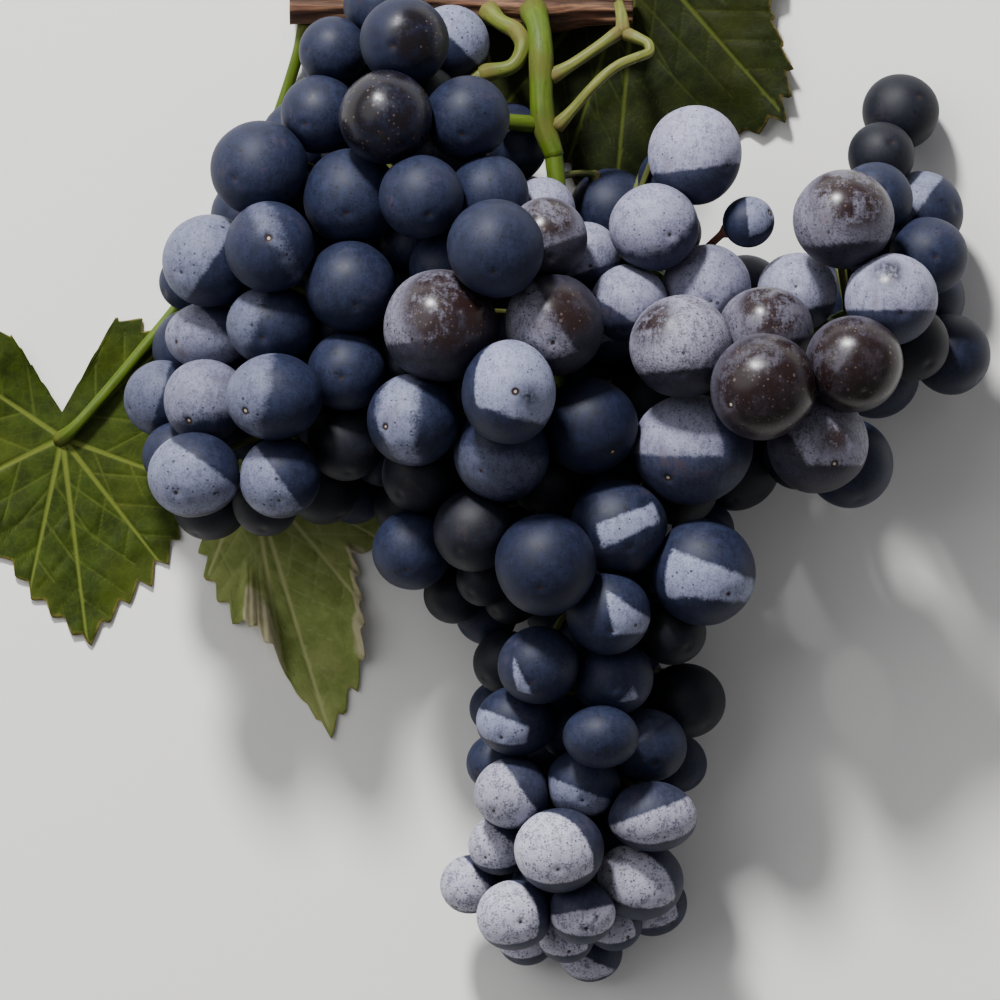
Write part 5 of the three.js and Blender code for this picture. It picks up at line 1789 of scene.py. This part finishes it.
def grow_stems():
    """The stems, with each leaf's stalk drawn on to its leaf, and the stub of a lost side stem."""
    joints = {name: joint for name, joint, _ in LEAVES}
    for name, route, diameters, steps in STEMS:
        leaf = name.replace("_petiole", "")
        if leaf in joints:
            route = [*route, (*joints[leaf], LEAF_HEIGHT)]
        tendril = name.startswith("tendril")
        skin = KHAKI if tendril else PALE_GREEN if name.startswith("left_wing") else GREEN
        shape = stem_shape(name, route, diameters, steps)
        grow(name, shape, skin)
    stub = stem_shape("stub", [STUB_BASE, STUB_TIP], (STUB_DIAMETER, STUB_DIAMETER * STUB_TAPER), STUB_STEPS)
    grow("stalk_stub", stub, GREEN)


def grow_leaves(berries):
    for name, joint, outline in LEAVES:
        grow(name, leaf_shape(name, joint, outline, berries), BLADE_SKINS[name])


# Camera straight above the bunch, the key light low from the stalk's end, and a soft fill
PICTURE_CENTRE = (-8.55, 0.0, 38.0)
PICTURE_WIDTH = 0.190
CAMERA_DISTANCE = 2.5
SENSOR_WIDTH = 36.0
KEY_WAY = (-0.25, 0.80, 0.58)
KEY_DISTANCE = 1.5
KEY_SIZE = 0.22
KEY_POWER = 44.0
FILL_WAY = (-0.7, 0.45, 0.8)
FILL_DISTANCE = 2.2
FILL_SIZE = 2.2
FILL_POWER = 24.0
SKY = 0.25
SKY_BLUE = 1.05
FLOOR_SIZE = 30.0
FLOOR_COLOUR = (240, 239, 235)


def add_light(name, way, distance, size, power):
    """A round lamp that faces the bunch from a direction."""
    middle = Vector(placed([PICTURE_CENTRE])[0])
    data = bpy.data.lights.new(name, "AREA")
    data.shape = "DISK"
    data.size = size
    data.energy = power
    light = bpy.data.objects.new(name, data)
    light.location = middle + Vector(way).normalized() * distance
    light.rotation_euler = (-Vector(way)).to_track_quat("-Z", "Y").to_euler()
    bpy.context.scene.collection.objects.link(light)


def add_camera():
    data = bpy.data.cameras.new("camera")
    data.sensor_width = SENSOR_WIDTH
    data.lens = SENSOR_WIDTH * CAMERA_DISTANCE / PICTURE_WIDTH
    data.clip_end = 100
    camera = bpy.data.objects.new("camera", data)
    camera.location = Vector(placed([PICTURE_CENTRE])[0]) + Vector((0, 0, CAMERA_DISTANCE))
    bpy.context.scene.collection.objects.link(camera)
    bpy.context.scene.camera = camera


def add_floor():
    """Pale paper under the bunch."""
    mesh = bpy.data.meshes.new("floor")
    half = FLOOR_SIZE / 2
    corners = [(-half, -half, 0), (half, -half, 0), (half, half, 0), (-half, half, 0)]
    mesh.from_pydata(corners, [], [(0, 1, 2, 3)])
    recipe = Recipe("floor_paper")
    recipe.set(Base_Color=paint(*FLOOR_COLOUR), Roughness=0.8)
    mesh.materials.append(recipe.material)
    floor = bpy.data.objects.new("floor", mesh)
    bpy.context.scene.collection.objects.link(floor)


def add_world():
    world = bpy.data.worlds.new("studio")
    world.use_nodes = True
    background = world.node_tree.nodes["Background"]
    background.inputs["Color"].default_value = (SKY, SKY, SKY * SKY_BLUE, 1)
    bpy.context.scene.world = world


def all_berries():
    """Every berry at its settled place, with its number in its node."""
    berries = packed_berries()
    name_hidden(berries)
    lone = Berry("lone", LONE_AT, LONE_DIAMETER, "m")
    lone.place = list(LONE_AT)
    berries.append(lone)
    counts = {}
    for berry in berries:
        berry.index = counts.setdefault(berry.node, 0)
        counts[berry.node] += 1
    return berries


add_camera()
add_world()
add_floor()
add_light("key", KEY_WAY, KEY_DISTANCE, KEY_SIZE, KEY_POWER)
add_light("fill", FILL_WAY, FILL_DISTANCE, FILL_SIZE, FILL_POWER)
bones = skeleton()
berries = all_berries()
grow_berries(berries, bones)
grow_pedicels(berries, bones)
grow_stems()
grow("cane", cane_shape(), BARK)
grow_leaves(berries)
